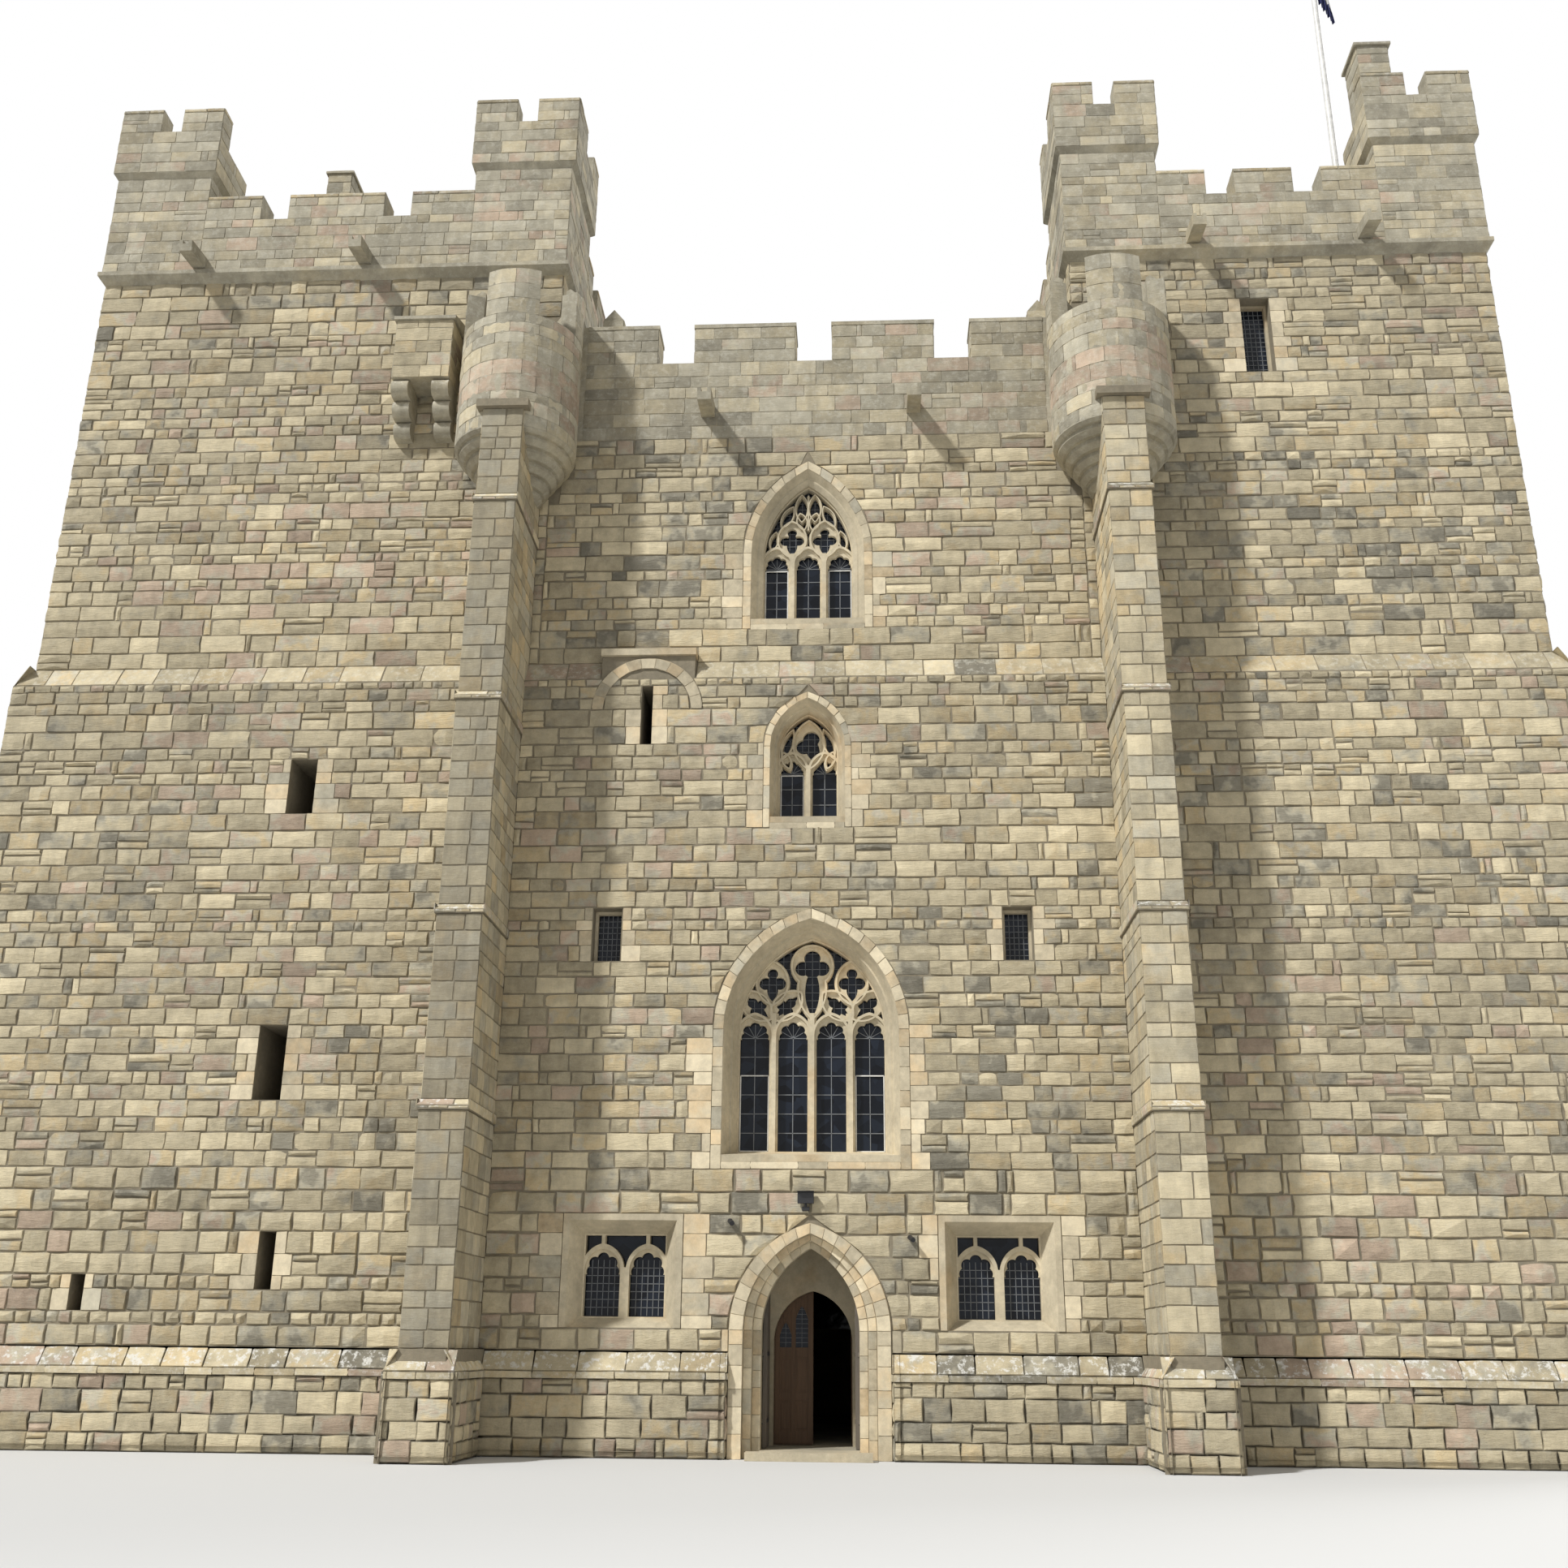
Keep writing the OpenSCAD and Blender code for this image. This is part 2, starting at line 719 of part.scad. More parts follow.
// Drum on corbel rings, with a merlon to the front and a gabled one on each side at the wall
module bartizan(x) {
  rings = 5;
  ring_h = 160;
  sill = bartizan_merlon_z - 1000;
  difference() {
    union() {
      translate([x, bartizan_y, bartizan_z]) rotate_extrude()
        polygon([[0, 0], [bartizan_r - 60, 0], [bartizan_r, 60], [bartizan_r, bartizan_merlon_z - bartizan_z],
                 [0, bartizan_merlon_z - bartizan_z]]);
      for (i = [1 : rings]) translate([x, bartizan_y + i * 60, bartizan_z - i * ring_h])
        rotate_extrude() let (r = bartizan_r - i * 140 + 60)
          polygon([[0, 0], [r - 90, 0], [r, 90], [r, ring_h + eps], [0, ring_h + eps]]);
      translate([x, 0, 0]) both_flanks() intersection() {
        translate([0, bartizan_y, bartizan_merlon_z - eps]) cylinder(r = bartizan_r, h = 300);
        upright(bartizan_y - 100, y_front)
          polygon([[400, bartizan_merlon_z - eps], [bartizan_r + 50, bartizan_merlon_z - eps],
                   [bartizan_r - 250, bartizan_merlon_z + 260]]);
      }
    }
    translate([x, bartizan_y, bartizan_z + 1500]) cylinder(r = bartizan_r - bartizan_t, h = 3000);
    block(x - 2000, x + 2000, y_front, y_in, bartizan_z - 2000, bartizan_merlon_z + 1000);
    translate([x, bartizan_y, sill]) both_flanks()
      linear_extrude(1000 + eps) polygon([[0, 0], [1000, -2000], [3000, -1000]]);
  }
}

module bartizans() {
  color(grey_stone) difference() {
    front_and_rear() for (x = buttress_x) bartizan(x);
    buttress_blocks(0);
  }
}

// Pointed oval, its long axis upright
module vesica(l, w) {
  r = round((l * l + w * w) / (4 * w));
  intersection() {
    translate([r - w / 2, 0]) circle(r);
    translate([w / 2 - r, 0]) circle(r);
  }
}

// Ring of foils of radius r, their centres d out
module foils(r, d, angles) {
  circle(d);
  for (a = angles) translate([d * cos(a), d * sin(a)]) circle(r);
}

// Window light with a cinquefoil head
module cusped_light(w, sill, spring) {
  translate([-w / 2 - 10, sill - 10]) square([w + 20, spring - sill + 10 - 0.12 * w]);
  translate([0, spring]) foils(0.17 * w, 0.3 * w, [-8, 38, 90, 142, 188]);
}

module placed(p) {
  translate([p[0], p[1]]) rotate(p[2]) children();
}

module both_sides() {
  children();
  mirror([1, 0]) children();
}

// Bar round a pointed oval, from a to b outside it
module oval_bar(l, w, a, b) {
  difference() {
    vesica(l + 2.4 * b, w + 2 * b);
    vesica(l + 2.4 * a, w + 2 * a);
  }
}

// Mullions and head of one light, from a to b outside its opening
module light_bar(w, sill, spring, rise, a, b) {
  difference() {
    pointed(w + 2 * b, sill - rim, spring, rise + 1.2 * b);
    pointed(w + 2 * a, sill, spring, rise + 1.2 * a);
  }
}

// Plate between the opening of a light and its cusped head
module light_cusps(w, sill, spring, rise) {
  difference() {
    pointed(w + 2 * lap, sill, spring, rise + lap);
    cusped_light(w, sill, spring);
  }
}

// Bar of width w up the middle, from z0 to z1
module stem(w, z0, z1) {
  translate([-w / 2, z0]) square([w, z1 - z0]);
}

// Tracery of moulded bars: children(0) in full, children(1) their noses, children(2) the set-back cusps
module window_stone(win) {
  y = y_front + win[depth_];
  module within() {
    intersection() {
      pointed(win[w_], win[sill_], win[spring_], win[rise_]);
      union() {
        difference() {
          pointed(win[w_], win[sill_], win[spring_], win[rise_]);
          pointed(win[w_] - 2 * rim, win[sill_] + rim, win[spring_], win[rise_] - 1.5 * rim);
        }
        children();
      }
    }
  }
  upright(y + nose, y + tracery_t) within() children(0);
  upright(y, y + nose + eps) within() children(1);
  upright(y + nose + 15, y + tracery_t - 25) within() children(2);
}

rim = 20;
// Depth of the nose on each bar and how far the cusps run into the bars
nose = 45;
lap = 6;
bar_w = 62;
nose_in = 16;
nose_out = 46;
mullion_half = mullion_w / 2 + eps;
mullion_nose = 35;
great_pitch = (great_w - 2 * rim + mullion_w) / 4;
great_light = great_pitch - mullion_w;
top_pitch = (top_w - 2 * rim + mullion_w) / 3;
top_light = top_pitch - mullion_w;
middle_pitch = (middle_w - 2 * rim + mullion_w) / 2;
middle_light = middle_pitch - mullion_w;
great_head = 300;
top_head = 290;
middle_head = 270;
top_head_z = top[spring_] - 120;
middle_head_z = middle[spring_] - 300;
// Tracery cells over the springing: place and angle, then length and width
great_mouchettes = [[-1.47 * great_pitch, 505, 47], [-0.67 * great_pitch, 505, -47]];
mouchette = [610, 370];
great_soufflet = [-1.05 * great_pitch, 905, 0];
soufflet = [690, 480];
drop_z = 1210;
drop_r = 320;
top_soufflet = [-0.52 * top_pitch, 410, 0];
top_oval = [700, 480];
top_daggers = [[-125, 1075, 0, 520, 190], [-120, 790, 12, 300, 140], [-395, 890, -25, 430, 150],
               [-650, 380, -12, 330, 110]];
middle_oval = [10, 190, 0, 860, 500];
middle_daggers = [[-370, 200, -18, 520, 130], [-395, -110, 20, 260, 90]];

// Drop-shaped cell at the middle of the great window, grown by g
module drop(g) {
  translate([0, drop_z]) circle(drop_r + g);
  translate([0, 790]) vesica(960 + 2.4 * g, 420 + 2 * g);
}

module great_bars(a, b, mullion) {
  for (i = [-1.5 : 1.5]) translate([i * great_pitch, 0])
    light_bar(great_light, great[sill_] + rim, great[spring_], great_head, mullion, mullion_half);
  translate([0, great[spring_]]) {
    for (i = [-1 : 1]) translate([i * great_pitch, 0]) stem(2 * (mullion_half - mullion), 0, 380);
    both_sides() {
      for (m = great_mouchettes) placed(m) oval_bar(mouchette[0], mouchette[1], a, b);
      placed(great_soufflet) oval_bar(soufflet[0], soufflet[1], a, b);
    }
    difference() {
      drop(b);
      drop(a);
    }
  }
}

module great_cusps() {
  for (i = [-1.5 : 1.5]) translate([i * great_pitch, 0])
    light_cusps(great_light, great[sill_] + rim, great[spring_], great_head);
  translate([0, great[spring_]]) {
    both_sides() {
      for (m = great_mouchettes) placed(m) difference() {
        vesica(mouchette[0] + lap, mouchette[1] + lap);
        foils(88, 92, [90, 210, 330]);
        vesica(mouchette[0] - 60, 130);
      }
      placed(great_soufflet) difference() {
        vesica(soufflet[0] + lap, soufflet[1] + lap);
        foils(108, 122, [0, 180]);
        translate([0, 170]) circle(92);
        translate([0, -110]) vesica(400, 190);
      }
    }
    difference() {
      drop(lap);
      translate([0, drop_z - 40]) foils(130, 165, [0, 180]);
      translate([0, drop_z + 140]) circle(140);
      translate([0, 760]) vesica(900, 250);
    }
  }
}

module great_windows() {
  color(dressed) front_and_rear() translate([door_x, 0, 0]) window_stone(great) {
    great_bars(0, bar_w, 0);
    great_bars(nose_in, nose_out, mullion_nose);
    great_cusps();
  }
}

module middle_bars(a, b, mullion) {
  for (i = [-0.5, 0.5]) translate([i * middle_pitch, 0])
    light_bar(middle_light, middle[sill_] + rim, middle_head_z, middle_head, mullion, mullion_half);
  translate([0, middle[spring_]]) {
    stem(2 * (mullion_half - mullion), -300, -200);
    placed(middle_oval) oval_bar(middle_oval[3], middle_oval[4], a, b);
    both_sides() for (m = middle_daggers) placed(m) oval_bar(m[3], m[4], a, b);
  }
}

module middle_cusps() {
  for (i = [-0.5, 0.5]) translate([i * middle_pitch, 0])
    light_cusps(middle_light, middle[sill_] + rim, middle_head_z, middle_head);
  translate([0, middle[spring_]]) placed(middle_oval) difference() {
    vesica(middle_oval[3] + lap, middle_oval[4] + lap);
    translate([40, 130]) circle(150);
    translate([-90, -20]) circle(140);
    translate([60, -60]) rotate(14) vesica(560, 250);
  }
}

module middle_windows() {
  color(dressed) front_and_rear() translate([door_x + middle_x, 0, 0]) window_stone(middle) {
    middle_bars(0, bar_w, 0);
    middle_bars(nose_in, nose_out, mullion_nose);
    middle_cusps();
  }
}

module top_bars(a, b, mullion) {
  for (i = [-1 : 1]) translate([i * top_pitch, 0])
    light_bar(top_light, top[sill_] + rim, top_head_z, top_head, mullion, mullion_half);
  translate([0, top[spring_]]) {
    for (i = [-0.5, 0.5]) translate([i * top_pitch, 0]) stem(2 * (mullion_half - mullion), -120, 110);
    stem(b - a, 600, 1350);
    both_sides() {
      placed(top_soufflet) oval_bar(top_oval[0], top_oval[1], a, b);
      for (m = top_daggers) placed(m) oval_bar(m[3], m[4], a, 0.85 * b);
    }
  }
}

module top_cusps() {
  for (i = [-1 : 1]) translate([i * top_pitch, 0])
    light_cusps(top_light, top[sill_] + rim, top_head_z, top_head);
  translate([0, top[spring_]]) both_sides() placed(top_soufflet) difference() {
    vesica(top_oval[0] + lap, top_oval[1] + lap);
    foils(102, 125, [0, 180]);
    translate([0, 170]) circle(90);
    translate([0, -100]) vesica(420, 200);
  }
}

module top_windows() {
  color(dressed) front_and_rear() translate([door_x + top_x, 0, 0]) window_stone(top) {
    top_bars(0, bar_w, 0);
    top_bars(nose_in, nose_out, mullion_nose);
    top_cusps();
  }
}

// Square-headed window of two ogee lights, whose stems reach the head
module ground_cells() {
  light = (ground_win_w - mullion_w - 2 * rim) / 2;
  spring = ground_head - 560;
  bar = 60;
  for (side = [-1, 1]) translate([side * (light + mullion_w) / 2, 0])
    pointed(light, ground_sill + rim, spring, 330);
  difference() {
    translate([-ground_win_w / 2 + rim, spring + 40])
      square([ground_win_w - 2 * rim, ground_head - spring - 40 - rim]);
    for (side = [-1, 1]) translate([side * (light + mullion_w) / 2, 0]) {
      pointed(light + 2 * bar, ground_sill, spring, 330 + 1.4 * bar);
      translate([-bar / 2, spring]) square([bar, 600]);
    }
  }
}

module ground_window(x) {
  light = (ground_win_w - mullion_w - 2 * rim) / 2;
  y = y_front + 100;
  translate([x, 0, 0]) {
    upright(y, y + tracery_t) difference() {
      translate([-ground_win_w / 2, ground_sill]) square([ground_win_w, ground_head - ground_sill]);
      ground_cells();
    }
    upright(y + 50, y + tracery_t - 50) for (side = [-1, 1])
      translate([side * (light + mullion_w) / 2, 0]) difference() {
        pointed(light, ground_sill + rim, ground_head - 560, 330);
        cusped_light(light, ground_sill + rim, ground_head - 560);
      }
  }
}

module ground_windows() {
  color(dressed) {
    front_and_rear() for (s = [-1, 1]) ground_window(door_x + s * ground_x);
    mirror([0, 1, 0]) ground_window(door_x);
  }
}

module small_frame(x, sill, w, h, y) {
  upright(y, y + 100) difference() {
    translate([x - w / 2, sill]) square([w, h]);
    translate([x - w / 2 + 50, sill + 50]) square([w - 100, h - 100]);
  }
}

side_sills = [4650, 10000, 14250];

// Frames of the windows in the walls between the towers
module side_frames(t, w, h, in) {
  for (side = [-1, 1], z = side_sills)
    translate([side < 0 ? x_left + side_recess + in : x_right - side_recess - in, 0, z])
      rotate([0, 0, 90]) rotate([90, 0, 0]) translate([0, 0, side < 0 ? 0 : -t])
      linear_extrude(t) difference() {
        translate([-w / 2, 0]) square([w, h]);
        if (t > glass_t) translate([-w / 2 + 50, 50]) square([w - 100, h - 100]);
      }
}

module small_windows() {
  color(dressed) {
    front_and_rear() {
      for (s = [-1, 1]) small_frame(door_x + s * square_x, square_sill, square_w, square_h, y_front);
      small_frame(x_hall_r + tower_win_x, tower_win_sill, tower_win_w, tower_win_h, y_front + 250);
    }
    side_frames(100, side_win_w, side_win_h, 250);
  }
}

side_win_w = 500;
side_win_h = 1100;

// Sweeps a profile up both jambs and round the pointed arch; its x is how far it stands outside the
// opening and its y the depth
module arch_sweep(win) {
  a = win[w_] / 2;
  c = arch_c(a, win[rise_]);
  z0 = win[sill_] - sill_drop;
  far = 3000;
  both_flanks() {
    translate([a, 0, z0]) linear_extrude(win[spring_] - z0) children();
    intersection() {
      translate([-c, 0, win[spring_]]) rotate([90, 0, 0]) rotate_extrude()
        translate([a + c, 0]) mirror([0, 1]) children();
      block(0, far, -body_d, 0, win[spring_], win[spring_] + far);
    }
  }
}

// Splayed and stepped order of a pointed window, with its sloping sill
module surround(win, y0) {
  o = win[order_];
  y1 = y_front + win[depth_];
  step_x = 0.4 * o;
  step_y = y0 + 0.5 * (y1 - y0);
  arris = 0.75 * o;
  z0 = win[sill_] - sill_drop;
  x = win[w_] / 2 + o;
  arch_sweep(win) polygon([[0, y1], [0, y1 - 60], [step_x - 30, step_y], [step_x, step_y], [arris, y0], [o, y0],
                           [o, y1]]);
  translate([-x, 0, 0]) rotate([90, 0, 90]) linear_extrude(2 * x)
    polygon([[y0, z0], [y0, win[sill_] - 90], [y1, win[sill_]], [y1, z0]]);
}

module ground_surround(x) {
  o = ground_win_w / 2 + splay + splay_rim;
  translate([x, 0, 0]) difference() {
    block(-o, o, y_low - 20, y_front + 100, ground_sill - splay - splay_rim + 145,
          ground_head + splay + splay_rim);
    splay_cut(-ground_win_w / 2, ground_win_w / 2, ground_sill, ground_head, y_low - 20 - eps,
              y_front + 100 + eps, splay);
  }
}

module window_surrounds() {
  color(dressed) {
    front_and_rear() {
      translate([door_x, 0, 0]) {
        surround(great, y_low);
        translate([middle_x, 0, 0]) surround(middle, y_low);
        translate([top_x, 0, 0]) surround(top, y_front);
        relief_arch();
      }
      for (side = [-1, 1]) ground_surround(door_x + side * ground_x);
    }
    mirror([0, 1, 0]) ground_surround(door_x);
  }
}

// Rough arch of the walled-up opening and the slab that shelters it
module relief_arch() {
  upright(y_low - 25, y_low) difference() {
    translate([relief_x, relief_z]) circle(relief_r);
    translate([relief_x, relief_z]) circle(relief_r - 200);
    translate([relief_x - 1100, relief_z - 1100]) square([2200, 1140]);
  }
  block(relief_x - relief_r + 130, relief_x + relief_r - 130, y_low - 70, y_front, relief_top,
        relief_top + 130);
}

module pane_sheet(y) {
  upright(y, y + glass_t) children();
}

module window_pane(win) {
  pane_sheet(y_front + win[depth_] + tracery_t) pointed(win[w_], win[sill_], win[spring_], win[rise_]);
}

module ground_glass() {
  y = y_front + 100 + tracery_t;
  color(pane) {
    front_and_rear() for (s = [-1, 1]) pane_sheet(y)
      translate([door_x + s * ground_x - ground_win_w / 2, ground_sill])
        square([ground_win_w, ground_head - ground_sill]);
    mirror([0, 1, 0]) pane_sheet(y) translate([door_x - ground_win_w / 2, ground_sill])
      square([ground_win_w, ground_head - ground_sill]);
  }
}

module side_glass(i) {
  intersection() {
    side_frames(glass_t, side_win_w, side_win_h, 350);
    block(x_left, x_right, tower_y, -tower_y, side_sills[i] - eps, side_sills[i] + side_win_h + eps);
  }
}

module first_glass() {
  color(pane) {
    front_and_rear() {
      translate([door_x, 0, 0]) window_pane(great);
      for (s = [-1, 1]) pane_sheet(y_front + 100)
        translate([door_x + s * square_x - square_w / 2, square_sill]) square([square_w, square_h]);
    }
    side_glass(0);
  }
}

module second_glass() {
  color(pane) {
    front_and_rear() translate([door_x + middle_x, 0, 0]) window_pane(middle);
    side_glass(1);
  }
}

module third_glass() {
  color(pane) {
    front_and_rear() {
      translate([door_x + top_x, 0, 0]) window_pane(top);
      pane_sheet(y_front + 350) translate([x_hall_r + tower_win_x - tower_win_w / 2, tower_win_sill])
        square([tower_win_w, tower_win_h]);
    }
    side_glass(2);
  }
}

// Stone water spout with a trough along its top
module spout(x, z) {
  w = 260;
  reach = 850;
  translate([x, y_front, z]) rotate([8, 0, 0]) difference() {
    block(-w / 2, w / 2, -reach, 0, -130, 110);
    block(-60, 60, -reach - eps, 200, 30, 200);
  }
}

module spouts() {
  color(grey_stone) front_and_rear() difference() {
    union() {
      for (x = [-2050, 1930]) spout(door_x + x, 18800);
      for (x = [x_left + 1975, x_hall_l - 4075, x_hall_r + 2455, x_right - 2355])
        spout(x, tower_top_z + 260);
    }
    block(x_left, x_right, y_front - parapet_out, y_in, tower_top_z - 1000, tower_top_z + 2000);
    block(x_left, x_right, y_front, y_in, hall_top_z - 1000, hall_top_z + 2000);
  }
}

// Latrine box on two triple corbels with rounded noses, under a sloping slab
module garderobe() {
  x1 = buttress_x[0] - bartizan_r - 280;
  x0 = x1 - 1120;
  d = 700;
  z0 = 19260;
  z1 = 20560;
  step = 350;
  corbel_w = 330;
  color(stone) {
    block(x0, x1, y_front - d, y_front, z0, z1);
    translate([x0 - 50, 0, 0]) rotate([90, 0, 90]) linear_extrude(x1 - x0 + 100)
      polygon([[y_front - d - 60, z1], [y_front - d - 60, z1 + 70], [y_front, z1 + 330], [y_front, z1]]);
    for (x = [x0, x1 - corbel_w]) translate([x, 0, 0]) rotate([90, 0, 90]) linear_extrude(corbel_w)
      for (i = [0 : 2]) translate([y_front - d + i * 200 + step / 2, z0 - (i + 0.5) * step]) intersection() {
        union() {
          circle(step / 2 + 8);
          translate([0, -step / 2]) square([d - i * 200 - step / 2, step]);
        }
        translate([-step, -step / 2]) square([d - i * 200 + step / 2, step]);
      }
  }
}

// Chimney stack of the left tower and two small gabled pinnacles behind the hall's battlements
module roof_stacks() {
  w = 530;
  d = 800;
  slab = 50;
  x = x_left + 3640;
  y = y_front + 1770;
  z1 = tower_top_z + 4040;
  pin_w = 420;
  pin_d = 300;
  pin_y = y_front + parapet_t + coping_out;
  pin_z = hall_merlon_z + 680;
  color(grey_stone) {
    block(x, x + w, y, y + d, tower_top_z + tower_roof_t, z1);
    block(x - slab, x + w + slab, y - slab, y + d + slab, z1 - eps, z1 + slab);
    sloped(grown(x, x + w, y, y + d, slab), grown(x, x + w, y, y + d, -slab * 2), z1 + slab, z1 + 190);
    front_and_rear() for (px = [x_hall_l + 940, x_hall_r - 560]) translate([px, 0, 0])
      upright(pin_y, pin_y + pin_d)
      polygon([[-pin_w / 2, roof_z], [-pin_w / 2, pin_z], [0, pin_z + 260], [pin_w / 2, pin_z],
               [pin_w / 2, roof_z]]);
  }
}

pole_x = x_right - 1590;
pole_y = y_front + 3000;
pole_top = tower_top_z + 10750;
pole_r = 90;
pole_tip_r = 55;
flag_z = tower_top_z + 8150;
flag_h = 2400;

module flagpole() {
  z0 = tower_top_z + tower_roof_t;
  color("white") {
    translate([pole_x, pole_y, z0]) cylinder(r1 = pole_r, r2 = pole_tip_r, h = pole_top - z0);
    translate([pole_x, pole_y, pole_top]) sphere(r = pole_r);
  }
}

// Space of the limp flag, close against the pole
module flag() {
  z0 = tower_top_z + tower_roof_t;
  r = pole_r + (pole_tip_r - pole_r) * (flag_z - z0) / (pole_top - z0);
  color("firebrick") block(pole_x + r + 0.3, pole_x + r + 360, pole_y - 60, pole_y + 60, flag_z,
                           flag_z + flag_h);
}

// Dressed doorway arch
module door_surround() {
  y1 = y_front + surround_t;
  orders = [[surround_w, 280, -30], [280, 140, 110], [140, 0, 230]];
  color(dressed) translate([door_x, 0, 0]) for (o = orders)
    upright(y_low + o[2], y1) difference() {
      door_outline(o[0], 0);
      door_outline(o[1], -eps);
    }
}

frame_y0 = y_front + 1200;
frame_y1 = frame_y0 + 250;

module inner_door_frame() {
  color(dressed) translate([door_x, 0, 0]) upright(frame_y0, frame_y1) difference() {
    translate([-pass_w / 2, ground_z]) square([pass_w, pass_z - ground_z]);
    pointed(inner_door_w, ground_z - eps, inner_spring, inner_rise);
  }
}

module door_steps() {
  color(dressed) {
    block(door_x - door_w / 2, door_x + door_w / 2, y_low - 30, y_front + surround_t, 0, ground_z);
    block(door_x - door_w / 2 - 200, door_x + door_w / 2 + 200, y_low - 380, y_low - 30, 0, ground_z);
  }
}

// The leaves turn on iron hooks: a pin stands up through an eye on each strap
pin_r = 10;
pin_gap = 0.3;
eye_r = 20;
eye_h = 60;
strap_t = 8;
hook_h = 24;
leaf_gap = 2.5;
hinge_in = eye_r + 2 * clear;
leaf_z = ground_z + 10;
outer_straps = [500, 1500];
inner_straps = [450, 1400];
outer_leaf_w = pass_w / 2 - hinge_in;
outer_y = y_front + surround_t + clear + outer_leaf_t;
inner_leaf_w = inner_door_w / 2 + 40;
inner_y = frame_y1 + clear + inner_leaf_t;

// One door leaf, closed along +X in front of its hinge axis at x = 0, y = 0
module leaf(w, z0, spring, rise, t, straps) {
  difference() {
    union() {
      upright(-t, 0) intersection() {
        translate([w, 0]) pointed(2 * w, z0, spring, rise);
        translate([eye_r + clear, 0]) square([w - leaf_gap - eye_r - clear, spring + rise]);
      }
      for (z = straps) {
        block(0, w * 0.7, 0, strap_t, z, z + eye_h);
        translate([0, 0, z]) cylinder(r = eye_r, h = eye_h);
      }
    }
    for (z = straps) translate([0, 0, z - eps]) cylinder(r = pin_r + pin_gap, h = eye_h + 2 * eps);
  }
}

// Hook with its pin at the origin and its arm reaching along -Y to the masonry
module hook(arm, z) {
  block(-pin_r, pin_r, -arm, pin_r, z - hook_h, z - pin_gap);
  translate([0, 0, z - hook_h]) cylinder(r = pin_r, h = hook_h + eye_h);
}

module both_leaves() {
  children();
  translate([2 * door_x, 0, 0]) mirror([1, 0, 0]) children();
}

module hinge_hooks() {
  color([0.15, 0.15, 0.15]) both_leaves() {
    translate([door_x - outer_leaf_w, outer_y, 0]) rotate([0, 0, -90])
      for (z = outer_straps) hook(hinge_in, z);
    translate([door_x - inner_leaf_w, inner_y, 0])
      for (z = inner_straps) hook(clear + inner_leaf_t, z);
  }
}

module outer_leaf_left() {
  color(oak) translate([door_x - outer_leaf_w, outer_y, 0]) rotate([0, 0, 90])
    leaf(outer_leaf_w, leaf_z, door_spring, door_rise + 20, outer_leaf_t, outer_straps);
}

module outer_leaf_right() {
  translate([2 * door_x, 0, 0]) mirror([1, 0, 0]) outer_leaf_left();
}

module inner_leaf_left() {
  color(oak) translate([door_x - inner_leaf_w, inner_y, 0])
    leaf(inner_leaf_w, leaf_z, inner_spring, inner_rise + 20, inner_leaf_t, inner_straps);
}

module inner_leaf_right() {
  color(oak) translate([door_x + inner_leaf_w, inner_y, 0]) mirror([1, 0, 0]) rotate([0, 0, 90])
    leaf(inner_leaf_w, leaf_z, inner_spring, inner_rise + 20, inner_leaf_t, inner_straps);
}

tower_front_left();
tower_front_right();
tower_rear_left();
tower_rear_right();
front_wall_left();
front_wall_right();
front_wall_over_door();
rear_wall();
side_walls();
plinth_front();
plinth_rear();
plinth_sides();
ground_floor();
first_floor();
second_floor();
third_floor();
hall_roof();
tower_roofs();
hall_parapets();
tower_parapets();
turrets();
buttresses();
bartizans();
great_windows();
middle_windows();
top_windows();
ground_windows();
small_windows();
window_surrounds();
ground_glass();
first_glass();
second_glass();
third_glass();
spouts();
garderobe();
roof_stacks();
flagpole();
flag();
door_surround();
inner_door_frame();
door_steps();
hinge_hooks();
outer_leaf_left();
outer_leaf_right();
inner_leaf_left();
inner_leaf_right();
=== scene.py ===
"""Castle keep: stonework, glazing, doors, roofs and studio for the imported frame."""
import math
import random

import bpy
import numpy as np
from mathutils import Matrix, Vector, noise


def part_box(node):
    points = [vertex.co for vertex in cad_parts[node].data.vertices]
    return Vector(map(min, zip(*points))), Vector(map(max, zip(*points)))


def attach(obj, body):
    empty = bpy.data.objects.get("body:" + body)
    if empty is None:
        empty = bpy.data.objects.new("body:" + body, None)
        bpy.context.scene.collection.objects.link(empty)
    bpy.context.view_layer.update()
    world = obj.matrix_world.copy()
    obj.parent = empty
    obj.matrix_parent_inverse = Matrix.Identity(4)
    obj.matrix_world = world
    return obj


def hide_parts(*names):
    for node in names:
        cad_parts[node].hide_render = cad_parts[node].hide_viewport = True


bl_info = {
    "name": "Castle Keep",
    "version": (1, 0, 0),
    "blender": (4, 5, 0),
    "location": "View3D > Sidebar > Keep",
    "description": "Lays the stones, glazing, doors and roofs of a castle keep on its CAD frame",
    "category": "Object",
}

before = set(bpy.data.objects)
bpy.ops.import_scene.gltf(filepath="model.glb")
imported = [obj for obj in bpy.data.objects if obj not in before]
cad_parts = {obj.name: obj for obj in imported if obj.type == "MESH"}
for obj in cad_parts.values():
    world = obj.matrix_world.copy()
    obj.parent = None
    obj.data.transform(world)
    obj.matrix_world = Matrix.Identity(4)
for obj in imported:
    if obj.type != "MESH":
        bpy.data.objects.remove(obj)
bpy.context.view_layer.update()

# Main planes of the walls, read from the frame, in metres
TOWER_FL, TOWER_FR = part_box("tower_front_left"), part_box("tower_front_right")
SETOFF = 0.25
X_LEFT, X_RIGHT = TOWER_FL[0].x + SETOFF, TOWER_FR[1].x - SETOFF
HALL_L, HALL_R = TOWER_FL[1].x, TOWER_FR[0].x
Y_LOW = TOWER_FL[0].y
Y_FRONT = Y_LOW + SETOFF
TOWER_Y = TOWER_FL[1].y
TOWER_TOP = TOWER_FL[1].z
